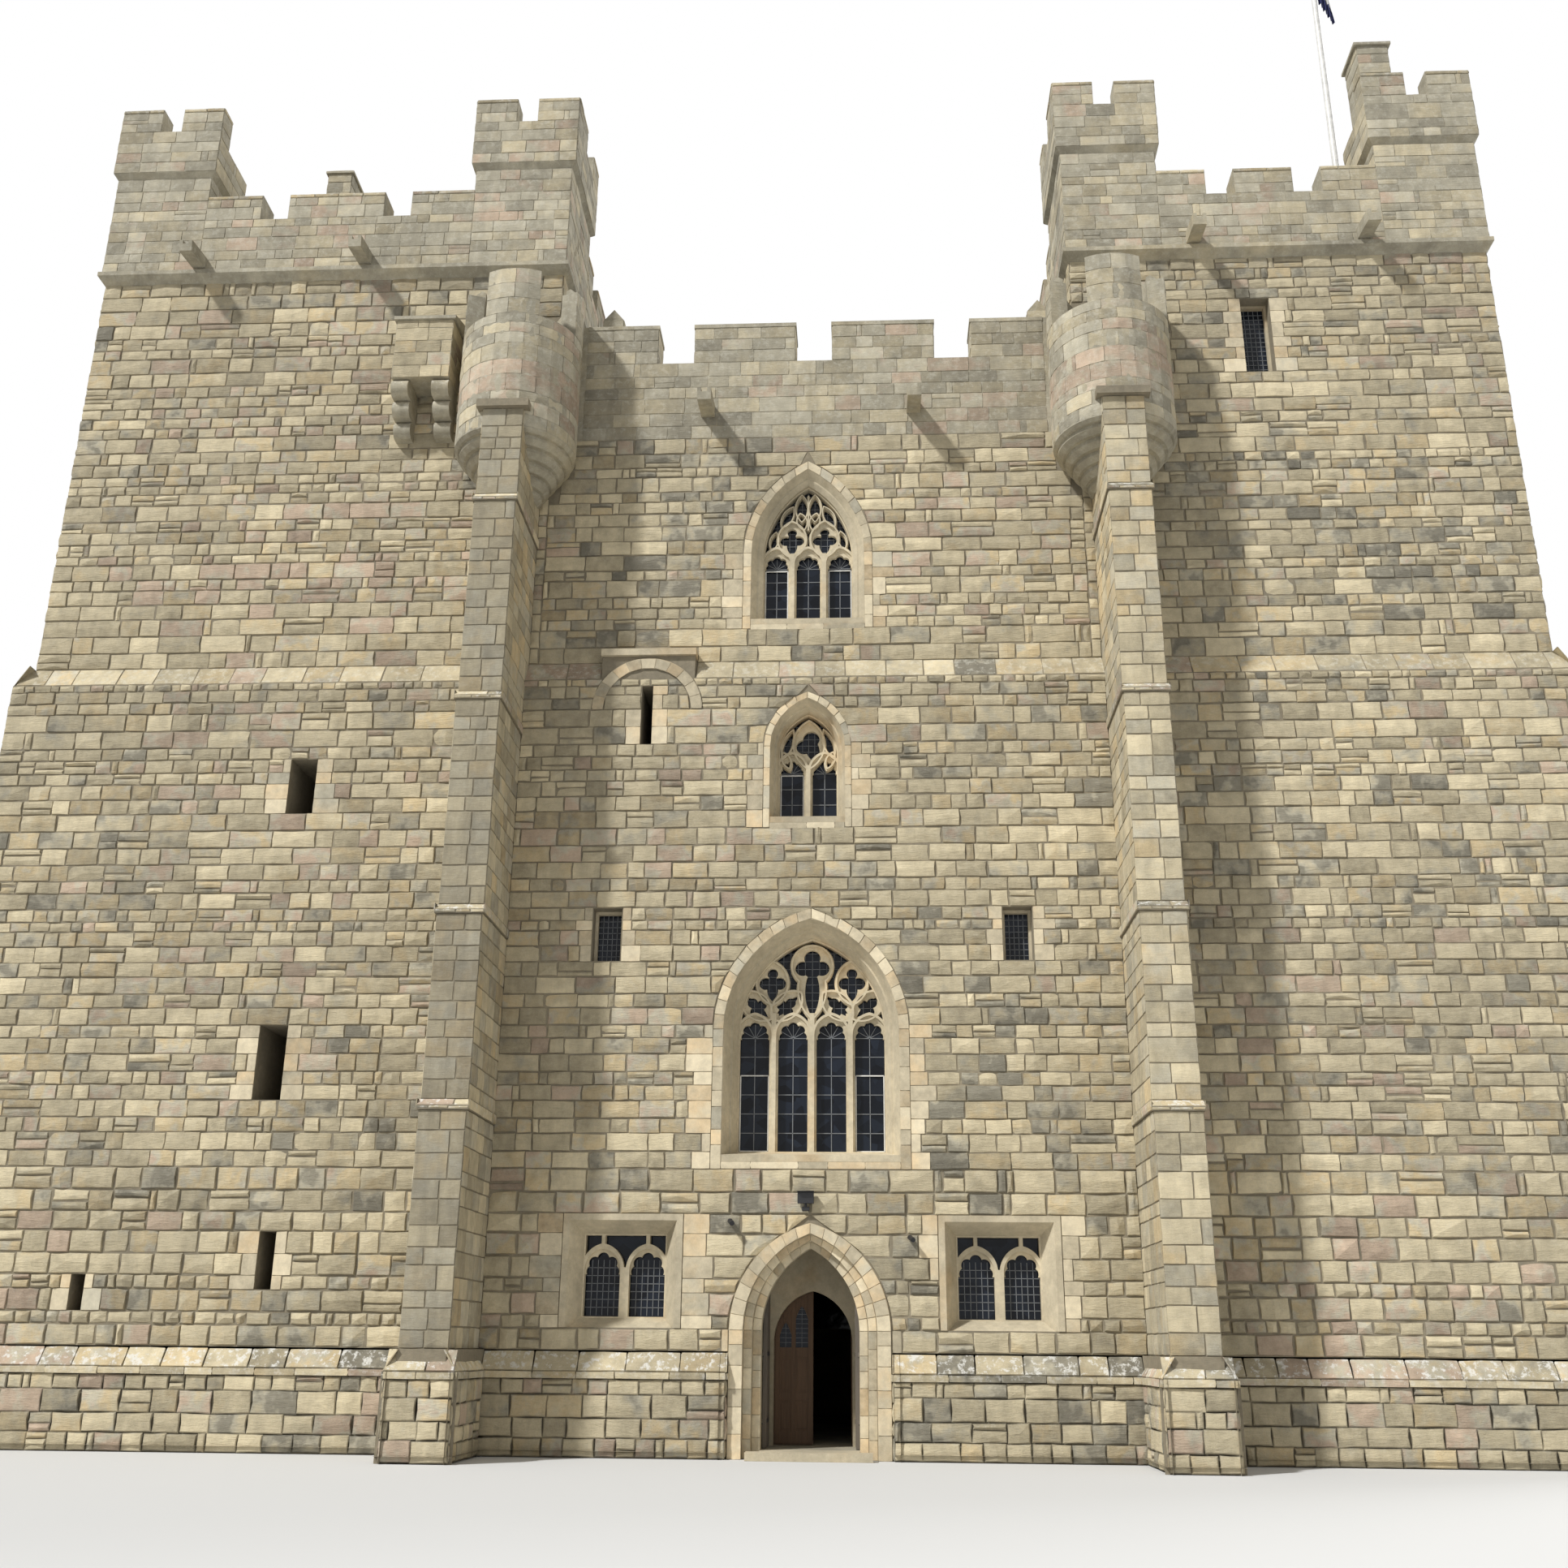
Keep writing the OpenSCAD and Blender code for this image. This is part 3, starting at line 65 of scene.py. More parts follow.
HALL_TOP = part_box("front_wall_left")[1].z
MERLON_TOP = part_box("hall_parapets")[1].z
DOOR_X = (HALL_L + HALL_R) / 2
PLINTH_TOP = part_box("plinth_front")[1].z
PLINTH_OUT = X_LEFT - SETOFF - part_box("plinth_front")[0].x
SETOFF_Z, SETOFF_TOP = 13.05, 13.47
RECESS = 1.2
BUTTRESS_HALF = 0.37
BUTTRESS_X = (HALL_L - 0.55, HALL_R + 0.55)
STAGES = (0.0, 5.05, 8.2, 11.98, 15.85, 17.8)
STAGE_D = (2.12, 2.04, 1.96, 1.88, 1.8)
DRUM_R, DRUM_BACK = 1.13, 0.66
RELIEF_X, RELIEF_Z = DOOR_X - 2.98, 12.45
# Half width of the label over the blocked arch
LABEL_HALF = 0.87
TOWER_WINDOW = (HALL_R + 3.565, TOWER_TOP - 2.8, 0.56, 1.67)
# How far the tower parapets stand out to the front and to the side, and the turrets' tops beyond
PARAPET_OUT, PARAPET_SIDE, TURRET_OUT = 0.13, 0.06, 0.09
PARAPET_Y = Y_FRONT - PARAPET_OUT
PARAPET_BACK = Y_FRONT + 0.47
HALL_PARAPET_BACK = Y_FRONT + 0.7
# Top of the rubble under the towers' string course, and of the roof's edge over the hall
TOWER_STRING = TOWER_TOP - 0.16
ROOF_EDGE = HALL_TOP + 0.56
CRENEL = 0.73
# Middles of the windows beside the door and of the small windows over them
GROUND_WINDOWS = (DOOR_X - 3.02, DOOR_X + 3.02)
SMALL_WINDOWS = (DOOR_X - 3.51, DOOR_X + 3.51)
# Course that carries the great window's jambs
SILL_BAND = 4.36
PRIVY_X, PRIVY_WIDTH, PRIVY_FOOT = BUTTRESS_X[0] - DRUM_R - 0.28, 1.12, 19.26
# Slits of the left tower: distance from the hall, sill, width and height
SLITS = ((4.075, 10.52, 0.48, 1.03), (4.065, 5.46, 0.48, 1.26), (3.765, 2.43, 0.27, 0.91),
         (6.825, 2.09, 0.23, 0.56))
# How far a wall's stones run past its corner
LAP = 0.015
# Higher than anything, for pieces that are open above
SKY = 40
SIDES = ((-1, X_LEFT), (1, X_RIGHT))
FLAG_HOIST, FLAG_FLY = 1.2, 1.8
# Turrets: left edge, width, depth and whether the rear walls are low
TURRETS = (
    (X_LEFT - PARAPET_SIDE, 2.0, 1.3, True),
    (HALL_L + PARAPET_SIDE - 2.0, 2.0, 2.2, False),
    (HALL_R - PARAPET_SIDE, 1.9, 2.2, False),
    (X_RIGHT + PARAPET_SIDE - 2.0, 2.0, 1.3, True),
)


def studio():
    return bpy.context.scene.keep_studio


def masonry():
    return bpy.context.scene.keep_masonry


def joinery():
    return bpy.context.scene.keep_joinery


# Openings

class Arch:
    """Pointed opening, struck from two centres at its springing."""

    def __init__(self, x, half, sill, spring, rise, dress=0.0, c=None):
        self.x, self.half, self.sill, self.spring, self.dress = x, half, sill, spring, dress
        self.c = (rise * rise - half * half) / (2 * half) if c is None else c
        self.rise = math.sqrt(half * half + 2 * half * self.c)
        self.levels = [sill]

    def grown(self, g, foot, dress=0.0):
        """The arch g outside this one, its jambs down to foot."""
        return Arch(self.x, self.half + g, foot, self.spring, 0.0, dress, self.c)

    def reach(self, z):
        """Half width at a level."""
        if z <= self.spring:
            return self.half
        return math.sqrt(max(0.0, (self.half + self.c) ** 2 - (z - self.spring) ** 2)) - self.c

    def top(self, u):
        """Level of the arch u beside its middle."""
        return self.spring + math.sqrt(max(0.0, (self.half + self.c) ** 2 - (abs(u) + self.c) ** 2))

    def span(self, z):
        """Edges of the opening at a level, or None."""
        if z < self.sill or z > self.spring + self.rise:
            return None
        half = self.reach(z)
        return (self.x - half, self.x + half)

    def toothed(self, z):
        """Mean length of the jamb blocks at a level."""
        return self.dress if z < self.spring else 0.0


GREAT = Arch(DOOR_X, 1.25, 4.68, 6.65, 1.68)
MIDDLE = Arch(DOOR_X - 0.08, 0.53, 10.49, 11.72, 0.78)
TOP = Arch(DOOR_X - 0.1, 0.84, 14.43, 15.7, 1.53)
DOORWAY = Arch(DOOR_X, 0.775, 0.0, 1.88, 1.26)
# Rings of blocks: growth and foot of the inner edge and of the outer one, blocks on each side of the
# head, and mean length of the wall's own blocks beside the jambs
RINGS = (
    (GREAT, (0.215, 4.48), (0.39, SILL_BAND), 11, 0.28),
    (MIDDLE, (0.13, 10.3), (0.25, 10.2), 6, 0.22),
    (TOP, (0.215, 14.2), (0.37, 14.14), 8, 0.24),
)
# Orders of the doorway: how far each stands out, and growth of its inner and outer edges
ORDERS = ((0.03, 0.28, 0.5), (-0.11, 0.14, 0.28), (-0.23, 0.0, 0.14))


class Box:
    """Square-headed opening, or a piece that stands in front of the wall."""

    def __init__(self, x0, x1, z0, z1, dress=0.0, mark=True):
        self.x0, self.x1, self.z0, self.z1, self.dress = x0, x1, z0, z1, dress
        self.levels = [z0, z1] if mark else []

    def span(self, z):
        return (self.x0, self.x1) if self.z0 <= z <= self.z1 else None

    def toothed(self, z):
        return self.dress


def around(x, half, z0, z1, dress=0.0):
    """Opening with its middle at x."""
    return Box(x - half, x + half, z0, z1, dress)


def screen(x, half, z0=-1, z1=SKY):
    """Piece in front of the wall with its middle at x; no course stops at its ends."""
    return Box(x - half, x + half, z0, z1, mark=False)


def front_openings():
    """Everything on the front that the wall stones leave free."""
    windows = [arch.grown(*outer, dress) for arch, _, outer, _, dress in RINGS]
    doorway = Arch(DOOR_X, 1.285, 0.0, DOORWAY.spring, 1.645, 0.1)
    return windows + [doorway] + [around(x, 0.26, 7.81, 8.76, 0.22) for x in SMALL_WINDOWS]


def ground_windows(f):
    """Middles of the ground floor windows; the rear has a third in place of the doorway."""
    return GROUND_WINDOWS + ((DOOR_X,) if f > 0 else ())


def slit_boxes():
    return [around(HALL_L - off, width / 2, z, z + height, 0.28) for off, z, width, height in SLITS]


# Stones

class Face:
    """Flat or round surface that stones are laid on: u along, v up, d out."""

    def __init__(self, origin, u, v, n, radius=0.0):
        self.o, self.u, self.v, self.n = (np.array(a, float) for a in (origin, u, v, n))
        self.radius = radius
        self.flip = np.dot(np.cross(self.u, self.v), self.n) < 0

    def place(self, p):
        if self.radius:
            a = p[..., 0] / self.radius
            r = self.radius + p[..., 2]
            out = np.empty(p.shape)
            out[..., 0] = self.o[0] + r * np.sin(a) * self.u[0]
            out[..., 1] = self.o[1] + r * np.cos(a) * self.n[1]
            out[..., 2] = self.o[2] + p[..., 1]
            return out
        return self.o + p[..., 0:1] * self.u + p[..., 1:2] * self.v + p[..., 2:3] * self.n


def across(y, sign):
    """Wall along X; sign is the way that it faces in Y. u is x itself."""
    return Face((0, y, 0), (1, 0, 0), (0, 0, 1), (0, sign, 0))


def along(x, sign):
    """Wall along Y; sign is the way that it faces in X. u is y itself."""
    return Face((x, 0, 0), (0, 1, 0), (0, 0, 1), (sign, 0, 0))


def mirrored(f, *ys):
    """Depths of the front, turned to the rear where f is 1, from low to high."""
    return sorted(f * -y for y in ys)


def outward(y, f):
    """Wall at a depth of the front (f -1) or the rear (f 1) that faces away from the keep."""
    return across(f * -y, f)


def inward(y, f):
    """Wall at a depth of the front (f -1) or the rear (f 1) that faces into the keep."""
    return across(f * -y, -f)


def rectangle(u0, u1, v0, v1):
    return [(u0, v0), (u1, v0), (u1, v1), (u0, v1)]


def even(amount):
    """The same dirt all over."""
    return lambda u, v: amount


# Kinds of stone: height of a course, width of a joint, how far a stone stands out, width of its worn
# edge, its length by its height, how its corners stray, how often it is split in two, and its bulge
RUBBLE = dict(course=0.27, joint=0.006, proud=(0.006, 0.03), edge=0.016, aspect=(0.95, 2.5), jitter=0.01,
              split=0.1, bulge=0.018)
LOW_RUBBLE = dict(RUBBLE, course=0.31, joint=0.008, edge=0.024, proud=(0.014, 0.042), aspect=(0.9, 2.0),
                  bulge=0.026)
ASHLAR = dict(course=0.27, joint=0.005, proud=(0.005, 0.014), edge=0.008, aspect=(1.2, 2.6), jitter=0.004,
              split=0.03, bulge=0.006)
BLOCKS = dict(ASHLAR, course=0.3, proud=(0.01, 0.015), edge=0.005, jitter=0.0015, bulge=0.002, split=0.0)
SLABS = dict(BLOCKS, aspect=(1.6, 3.0), edge=0.014, bulge=0.006, jitter=0.005)
NOSES = dict(SLABS, proud=(0.036, 0.044), edge=0.006, bulge=0.002, aspect=(4.0, 9.0))
# How deep the stones sit in the wall, and the dirt of the parapets and of arch blocks
BEDDED = 0.01
DAMP = even(0.06)
BLOCK_DIRT, FAN_DIRT = 0.06, 0.45
# Least and greatest length of a stone, and length and share of the small fillers
STONE_MIN, STONE_MAX = 0.16, 0.85
FILLER, FILLER_SHARE = (0.1, 0.15), 0.04
# How the jamb blocks vary, and the lengths of wall that take one of them and a second
JAMB_VARIES, TAKES_ONE, TAKES_TWO = (0.45, 1.7), 0.5, 0.9
# Shortest length of wall that takes a stone, and height and length of those that may be split
SLIVER, SPLIT_HEIGHT, SPLIT_LENGTH = 0.05, 0.2, 0.25
# Shortest course that a mark may leave
COURSE_MIN = 0.13


class Stones:
    """Stones gathered for one joined mesh."""

    def __init__(self, seed):
        self.rand = random.Random(seed)
        self.faces, self.data = [], []

    def add(self, face, quad, style, dirt=0.0, hue=None):
        """One stone within four corners, less half a joint all round."""
        r = self.rand
        if face not in self.faces:
            self.faces.append(face)
        j, k = style["joint"] / 2, style["jitter"]
        cu, cv = (sum(p[i] for p in quad) / 4 for i in (0, 1))
        corners = []
        for u, v in quad:
            u += math.copysign(min(j, abs(cu - u) * 0.4), cu - u) + r.uniform(-k, k)
            v += math.copysign(min(j, abs(cv - v) * 0.4), cv - v) + r.uniform(-k, k)
            corners += [u, v]
        proud, bulge = r.uniform(*style["proud"]), style["bulge"] * r.uniform(0.2, 1.6)
        tone, hue = r.random(), self.pick(cu, cv) if hue is None else hue
        soil_and_painted_light = max(0.0, min(1.0, dirt + r.uniform(-0.12, 0.12)))
        self.data.append(corners + [proud, style["edge"], bulge, tone, hue, soil_and_painted_light, self.faces.index(face), k])

    def lay(self, face, u0, u1, v0, v1, style, openings=(), dressed=None, dirt=None, marks=()):
        """Courses between v0 and v1, broken at the openings; dressed takes the jamb blocks."""
        marks = sorted(set([l for o in openings for l in o.levels] + list(marks)))
        lines = course_lines(v0, v1, marks, style["course"], self.rand)
        for va, vb in zip(lines, lines[1:]):
            mid = (va + vb) / 2
            cuts = []
            for o in openings:
                low, high, m = o.span(va + 0.02), o.span(vb - 0.02), o.span(mid)
                if not (low or m):
                    continue
                low = low or m
                centre = (low[0] + low[1]) / 2
                high = high or ((centre, centre) if m is None or isinstance(o, Arch) else m)
                if high[1] > u0 - 0.5 and low[0] < u1 + 0.5:
                    cuts.append((low, high, o.toothed(mid)))
            cuts.sort(key=lambda c: c[0][0])
            left, left_dress = (u0, u0), 0.0
            for low, high, dress in cuts + [((u1, u1), (u1, u1), 0.0)]:
                right = (min(low[0], u1), min(high[0], u1))
                self.row(face, left, right, va, vb, style, left_dress, dress, dressed, dirt)
                new = (max(low[1], u0), max(high[1], u0))
                if new[0] > left[0]:
                    left, left_dress = new, dress

    def row(self, face, left, right, va, vb, style, dress_l, dress_r, dressed, dirt):
        """One course between two edges, each given at its foot and at its head."""
        r = self.rand
        length = (right[0] + right[1] - left[0] - left[1]) / 2
        if length < SLIVER:
            return
        h = vb - va
        if dressed and dress_l and length > TAKES_ONE:
            end = left[0] + dress_l * r.uniform(*JAMB_VARIES)
            block = [(left[0], va), (end, va), (end, vb), (left[1], vb)]
            dressed.add(face, block, BLOCKS, self.soil_and_painted_light(dirt, left[0], va) * 0.5)
            left = (end, end)
        if dressed and dress_r and length > TAKES_TWO:
            end = right[0] - dress_r * r.uniform(*JAMB_VARIES)
            block = [(end, va), (right[0], va), (right[1], vb), (end, vb)]
            dressed.add(face, block, BLOCKS, self.soil_and_painted_light(dirt, right[0], va) * 0.5)
            right = (end, end)
        a, b = (left[0] + left[1]) / 2, (right[0] + right[1]) / 2
        if b - a < 0.04:
            return
        joints = []
        at = a
        while True:
            w = max(STONE_MIN, min(STONE_MAX, h * r.uniform(*style["aspect"])))
            if style["split"] and r.random() < FILLER_SHARE:
                w = r.uniform(*FILLER)
            at += w
            if at > b - STONE_MIN:
                break
            joints.append(at)
        edges = [left] + [(x, x) for x in joints] + [right]
        for (la, lb), (ra, rb) in zip(edges, edges[1:]):
            d = self.soil_and_painted_light(dirt, (la + ra) / 2, (va + vb) / 2)
            if r.random() < style["split"] and h > SPLIT_HEIGHT and ra - la > SPLIT_LENGTH:
                f = r.uniform(0.34, 0.66)
                m = va + h * f
                lm, rm = la + (lb - la) * f, ra + (rb - ra) * f
                self.add(face, [(la, va), (ra, va), (rm, m), (lm, m)], style, d)
                self.add(face, [(lm, m), (rm, m), (rb, vb), (lb, vb)], style, d)
            else:
                self.add(face, [(la, va), (ra, va), (rb, vb), (lb, vb)], style, d)

    def pick(self, u, v):
        """Hue of a stone: by chance, and alike over wide patches of the wall."""
        patch = noise.noise(Vector((u * 0.16, v * 0.16, 9.1)))
        return min(1.0, max(0.0, self.rand.random() + 0.22 * patch))

    @staticmethod
    def soil_and_painted_light(dirt, u, v):
        """Dirt of a stone: in wide patches, and what the wall adds there, which on most buttresses lowers it
        as painted sunlight.
        """
        base = 0.14 + 0.5 * noise.noise(Vector((u * 0.35, v * 0.35, 3.7)))
        return base + (dirt(u, v) if dirt else 0.0)

    def build(self, name, material, slot):
        """One mesh of all the stones: a sunk skirt, a worn arris and a rough face on each.

        A stone has 17 points: corners and mids of its outline (0 to 3, 13 to 16), corners and mids of
        its arris (4 to 7, 8 to 11) and the middle of its face (12). The outline points carry painted shade:
        their tone alpha is 0, so that the material darkens each stone towards its joints.
        """
        d = np.array(self.data)
        n = len(d)
        rng = np.random.default_rng(n)
        q = d[:, :8].reshape(n, 4, 2)
        proud, edge, bulge = d[:, 8], d[:, 9], d[:, 10]
        c = q.mean(1, keepdims=True)
        lim = np.minimum(edge[:, None, None], np.abs(c - q) * 0.7)
        inner = q + np.clip(c - q, -lim, lim)
        rough = np.minimum(1.0, d[:, 15] / 0.01)[:, None, None]
        bend = (c - q) * rng.uniform(-0.03, 0.07, (n, 4, 1)) * rough
        mids = (inner + np.roll(inner, -1, 1)) / 2 + bend
        mids += (mids - c) * 0.03
        p = np.zeros((n, 17, 3))
        p[:, 0:4, :2] = q
        p[:, 13:17, :2] = (q + np.roll(q, -1, 1)) / 2 + bend
        p[:, 0:4, 2] = p[:, 13:17, 2] = -BEDDED
        p[:, 4:8, :2] = inner
        p[:, 4:8, 2] = proud[:, None] - rng.uniform(0, 0.6, (n, 4)) * bulge[:, None]
        p[:, 8:12, :2] = mids
        p[:, 8:12, 2] = proud[:, None] + rng.uniform(-0.3, 0.5, (n, 4)) * bulge[:, None]
        p[:, 12, :2] = c[:, 0] + rng.uniform(-0.2, 0.2, (n, 2)) * np.abs(c[:, 0] - q[:, 0])
        p[:, 12, 2] = proud + bulge
        index = d[:, 14].astype(int)
        world = np.empty_like(p)
        flips = np.zeros(n, bool)
        for i, f in enumerate(self.faces):
            rows = index == i
            world[rows] = f.place(p[rows])
            flips[rows] = f.flip
        poly = [[k, 13 + k, 8 + k, 4 + k] for k in range(4)]
        poly += [[13 + k, (k + 1) % 4, 4 + (k + 1) % 4, 8 + k] for k in range(4)]
        poly += [[4 + k, 8 + k, 12, 8 + (k + 3) % 4] for k in range(4)]
        sizes = np.tile([len(f) for f in poly], n)
        forward = np.concatenate(poly)
        backward = np.concatenate([f[::-1] for f in poly])
        loops = np.where(flips[:, None], backward[None], forward[None]) + np.arange(n)[:, None] * 17
        tone = np.ones((n, 17, 4), np.float32)
        tone[:, :, :3] = d[:, None, 11:14]
        # Alpha 0 on the outline: painted shade of the recessed joints, darkening each stone towards its
        # edges
        tone[:, 0:4, 3] = tone[:, 13:17, 3] = 0.0
        obj = mesh_object(name, world.reshape(-1, 3), loops.reshape(-1), sizes, mat(material))
        paint_points(obj, "stone_tone", tone)


def course_lines(v0, v1, marks, size, rand):
    """Levels of the courses: one at each mark, and uneven ones of about the given size between."""
    stops = [v0]
    for m in marks:
        if stops[-1] + COURSE_MIN < m < v1 - COURSE_MIN:
            stops.append(m)
    stops.append(v1)
    lines = [v0]
    for a, b in zip(stops, stops[1:]):
        parts = [rand.uniform(0.72, 1.32) for _ in range(max(1, round((b - a) / size)))]
        z = a
        for w in parts[:-1]:
            z += (b - a) * w / sum(parts)
            lines.append(z)
        lines.append(b)
    return lines


def mesh_object(name, verts, loops, sizes, material, body="keep"):
    """Object from flat arrays of points, corner indices and face sizes, riding on a body."""
    mesh = bpy.data.meshes.new(name)
    mesh.vertices.add(len(verts))
    mesh.vertices.foreach_set("co", np.asarray(verts, np.float32).reshape(-1))
    mesh.loops.add(len(loops))
    mesh.loops.foreach_set("vertex_index", np.asarray(loops, np.int32))
    mesh.polygons.add(len(sizes))
    mesh.polygons.foreach_set("loop_start", np.concatenate([[0], np.cumsum(sizes)[:-1]]).astype(np.int32))
    mesh.update(calc_edges=True)
    mesh.validate()
    mesh.shade_flat()
    mesh.materials.append(material)
    obj = bpy.data.objects.new(name, mesh)
    bpy.context.scene.collection.objects.link(obj)
    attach(obj, body)
    return obj


def paint_points(obj, name, colours):
    layer = obj.data.color_attributes.new(name, "FLOAT_COLOR", "POINT")
    layer.data.foreach_set("color", colours.reshape(-1))


class Solids:
    """Small boxes, prisms and round rods gathered for one joined mesh."""

    def __init__(self):
        self.v, self.l, self.s, self.n = [], [], [], 0

    def hexa(self, p):
        """Eight corners: four below, four above, both counter-clockwise from outside."""
        self.v.append(np.array(p, float))
        for f in ((3, 2, 1, 0), (4, 5, 6, 7), (0, 1, 5, 4), (1, 2, 6, 5), (2, 3, 7, 6), (3, 0, 4, 7)):
            self.l += [self.n + i for i in f]
            self.s.append(4)
        self.n += 8

    def box(self, x0, x1, y0, y1, z0, z1):
        self.hexa([(x, y, z) for z in (z0, z1) for x, y in rectangle(x0, x1, y0, y1)])

    def bar(self, a, b, width, y0, y1):
        """Flat bar between two points of the XZ plane, from y0 back to y1."""
        length = math.hypot(b[0] - a[0], b[1] - a[1])
        if length < 1e-6:
            return
        ox, oz = -(b[1] - a[1]) / length * width / 2, (b[0] - a[0]) / length * width / 2
        self.hexa([(x + s * ox, y, z + s * oz) for x, z in (a, b)
                   for s, y in ((1, y0), (-1, y0), (-1, y1), (1, y1))])

    def roll(self, a, b, radius, sides=8):
        """Round rod from a to b."""
        a, b = Vector(a), Vector(b)
        t = (b - a).normalized()
        e = t.orthogonal().normalized()
        g = t.cross(e)
        turns = [k * math.tau / sides for k in range(sides)]
        ring = [e * math.cos(turn) * radius + g * math.sin(turn) * radius for turn in turns]
        self.v.append(np.array([a + r for r in ring] + [b + r for r in ring]))
        for k in range(sides):
            m = (k + 1) % sides
            self.l += [self.n + i for i in (k, m, sides + m, sides + k)]
            self.s.append(4)
        self.l += [self.n + i for i in range(sides)][::-1] + [self.n + sides + i for i in range(sides)]
        self.s += [sides, sides]
        self.n += 2 * sides

    def build(self, name, material, slot, body="keep", bevel=0.0):
        obj = mesh_object(name, np.concatenate(self.v), self.l, self.s, mat(material), body)
        if bevel:
            mod = obj.modifiers.new("worn edges", "BEVEL")
            mod.width, mod.segments, mod.limit_method = bevel, 2, "ANGLE"


# Materials

class Net:
    """Short way to place and join shader nodes."""

    def __init__(self, tree):
        self.tree = tree

    def add(self, kind, ins=None, **props):
        """New node; its inputs take values or the sockets that feed them."""
        node = self.tree.nodes.new(kind)
        for key, value in props.items():
            setattr(node, key, value)
        for key, value in (ins or {}).items():
            self.feed(node.inputs[key], value)
        return node

    def feed(self, socket, value):
        if isinstance(value, bpy.types.NodeSocket):
            self.tree.links.new(value, socket)
        else:
            socket.default_value = value

    def where(self):
        """Place on the object, in metres."""
        return self.add("ShaderNodeTexCoord").outputs["Object"]

    def math(self, op, a, b=0.0, clamp=False):
        return self.add("ShaderNodeMath", {0: a, 1: b}, operation=op, use_clamp=clamp).outputs[0]

    def blend(self, a, share_a, b, share_b):
        """Sum of two values, each with its share."""
        return self.math("ADD", self.math("MULTIPLY", a, share_a), self.math("MULTIPLY", b, share_b))

    def ramp(self, fac, stops, interpolation="LINEAR"):
        node = self.add("ShaderNodeValToRGB", {0: fac})
        node.color_ramp.interpolation = interpolation
        points = node.color_ramp.elements
        while len(points) < len(stops):
            points.new(0.5)
        for point, (at, colour) in zip(points, stops):
            point.position, point.color = at, (*colour, 1)
        return node.outputs[0]

    def mix(self, fac, a, b, blend="MIX"):
        node = self.add("ShaderNodeMix", data_type="RGBA", blend_type=blend)
        for i, value in ((0, fac), (6, a), (7, b)):
            self.feed(node.inputs[i], (*value, 1) if isinstance(value, tuple) else value)
        return node.outputs[2]

    def spread(self, value, lo, hi, to_lo=0.0, to_hi=1.0):
        return self.add("ShaderNodeMapRange", {0: value, 1: lo, 2: hi, 3: to_lo, 4: to_hi}).outputs[0]

    def stretched(self, vector, scale):
        return self.add("ShaderNodeMapping", {"Vector": vector, "Scale": scale}).outputs[0]

    def fractal(self, where, scale, detail=4.0, rough=0.55):
        ins = {"Vector": where, "Scale": scale, "Detail": detail, "Roughness": rough}
        return self.add("ShaderNodeTexNoise", ins).outputs[0]

    def bump(self, shader, height, strength, distance):
        node = self.add("ShaderNodeBump", {"Height": height, "Strength": strength, "Distance": distance})
        self.feed(shader.inputs["Normal"], node.outputs[0])


def group(name, inputs, outputs):
    """New shader node group with float sockets; returns its net and end nodes."""
    tree = bpy.data.node_groups.new(name, "ShaderNodeTree")
    for key, value in inputs:
        tree.interface.new_socket(key, in_out="INPUT", socket_type="NodeSocketFloat").default_value = value
    for key in outputs:
        tree.interface.new_socket(key, in_out="OUTPUT", socket_type="NodeSocketFloat")
    net = Net(tree)
    return net, net.add("NodeGroupInput").outputs, net.add("NodeGroupOutput").inputs


def make_groups():
    # Stone grain: sandy grains, bedding and pits
    net, g, out = group("Sandstone Grain", [("Scale", 1.0), ("Pits", 0.5)], ["Tone", "Height"])
    scaled = net.add("ShaderNodeVectorMath", {0: net.where(), "Scale": g["Scale"]}, operation="SCALE")
    p = scaled.outputs[0]
    fine = net.fractal(p, 60.0, 5.0, 0.7)
    broad = net.fractal(p, 5.0, 4.0, 0.6)
    bedding = net.fractal(net.stretched(p, (1.0, 1.0, 5.0)), 7.0, 5.0, 0.65)
    pits = net.add("ShaderNodeTexVoronoi", {"Vector": p, "Scale": 34.0}).outputs["Distance"]
    pit = net.math("MULTIPLY", net.spread(pits, 0.0, 0.28, 1.0, 0.0), g["Pits"])
    tone = net.blend(broad, 0.6, fine, 0.4)
    height = net.blend(bedding, 0.7, fine, 0.22)
    net.feed(out["Tone"], net.math("SUBTRACT", tone, net.math("MULTIPLY", pit, 0.15)))
    net.feed(out["Height"], net.math("SUBTRACT", height, net.math("MULTIPLY", pit, 0.3)))
    # Weather: dark streaks that run down, and pale lichen on what faces up
    net, g, out = group("Weather", [("Streaks", 0.5), ("Lichen", 0.5)], ["Dark", "Pale"])
    where = net.where()
    run = net.stretched(where, (1.6, 1.6, 0.25))
    streak = net.spread(net.fractal(run, 1.6, 6.0, 0.65), 0.46, 0.72)
    net.feed(out["Dark"], net.math("MULTIPLY", streak, g["Streaks"], True))
    up = net.add("ShaderNodeSeparateXYZ", {0: net.add("ShaderNodeNewGeometry").outputs["Normal"]}).outputs[2]
    spots = net.spread(net.fractal(where, 9.0, 6.0, 0.7), 0.52, 0.6)
    facing = net.spread(up, -0.1, 0.5, 0.25, 1.0)
    net.feed(out["Pale"], net.math("MULTIPLY", net.math("MULTIPLY", spots, facing), g["Lichen"], True))
    # Timber grain: long fibres with darker growth bands
    net, g, out = group("Timber Grain", [("Across", 1.0)], ["Tone", "Height"])
    long = net.stretched(net.where(), (14.0, 14.0, 0.7))
    fibre = net.fractal(long, 4.0, 6.0, 0.7)
    band = net.fractal(long, 0.8, 3.0, 0.5)
    net.feed(out["Tone"], net.blend(fibre, 0.55, band, 0.45))
    net.feed(out["Height"], net.math("MULTIPLY", fibre, g["Across"]))


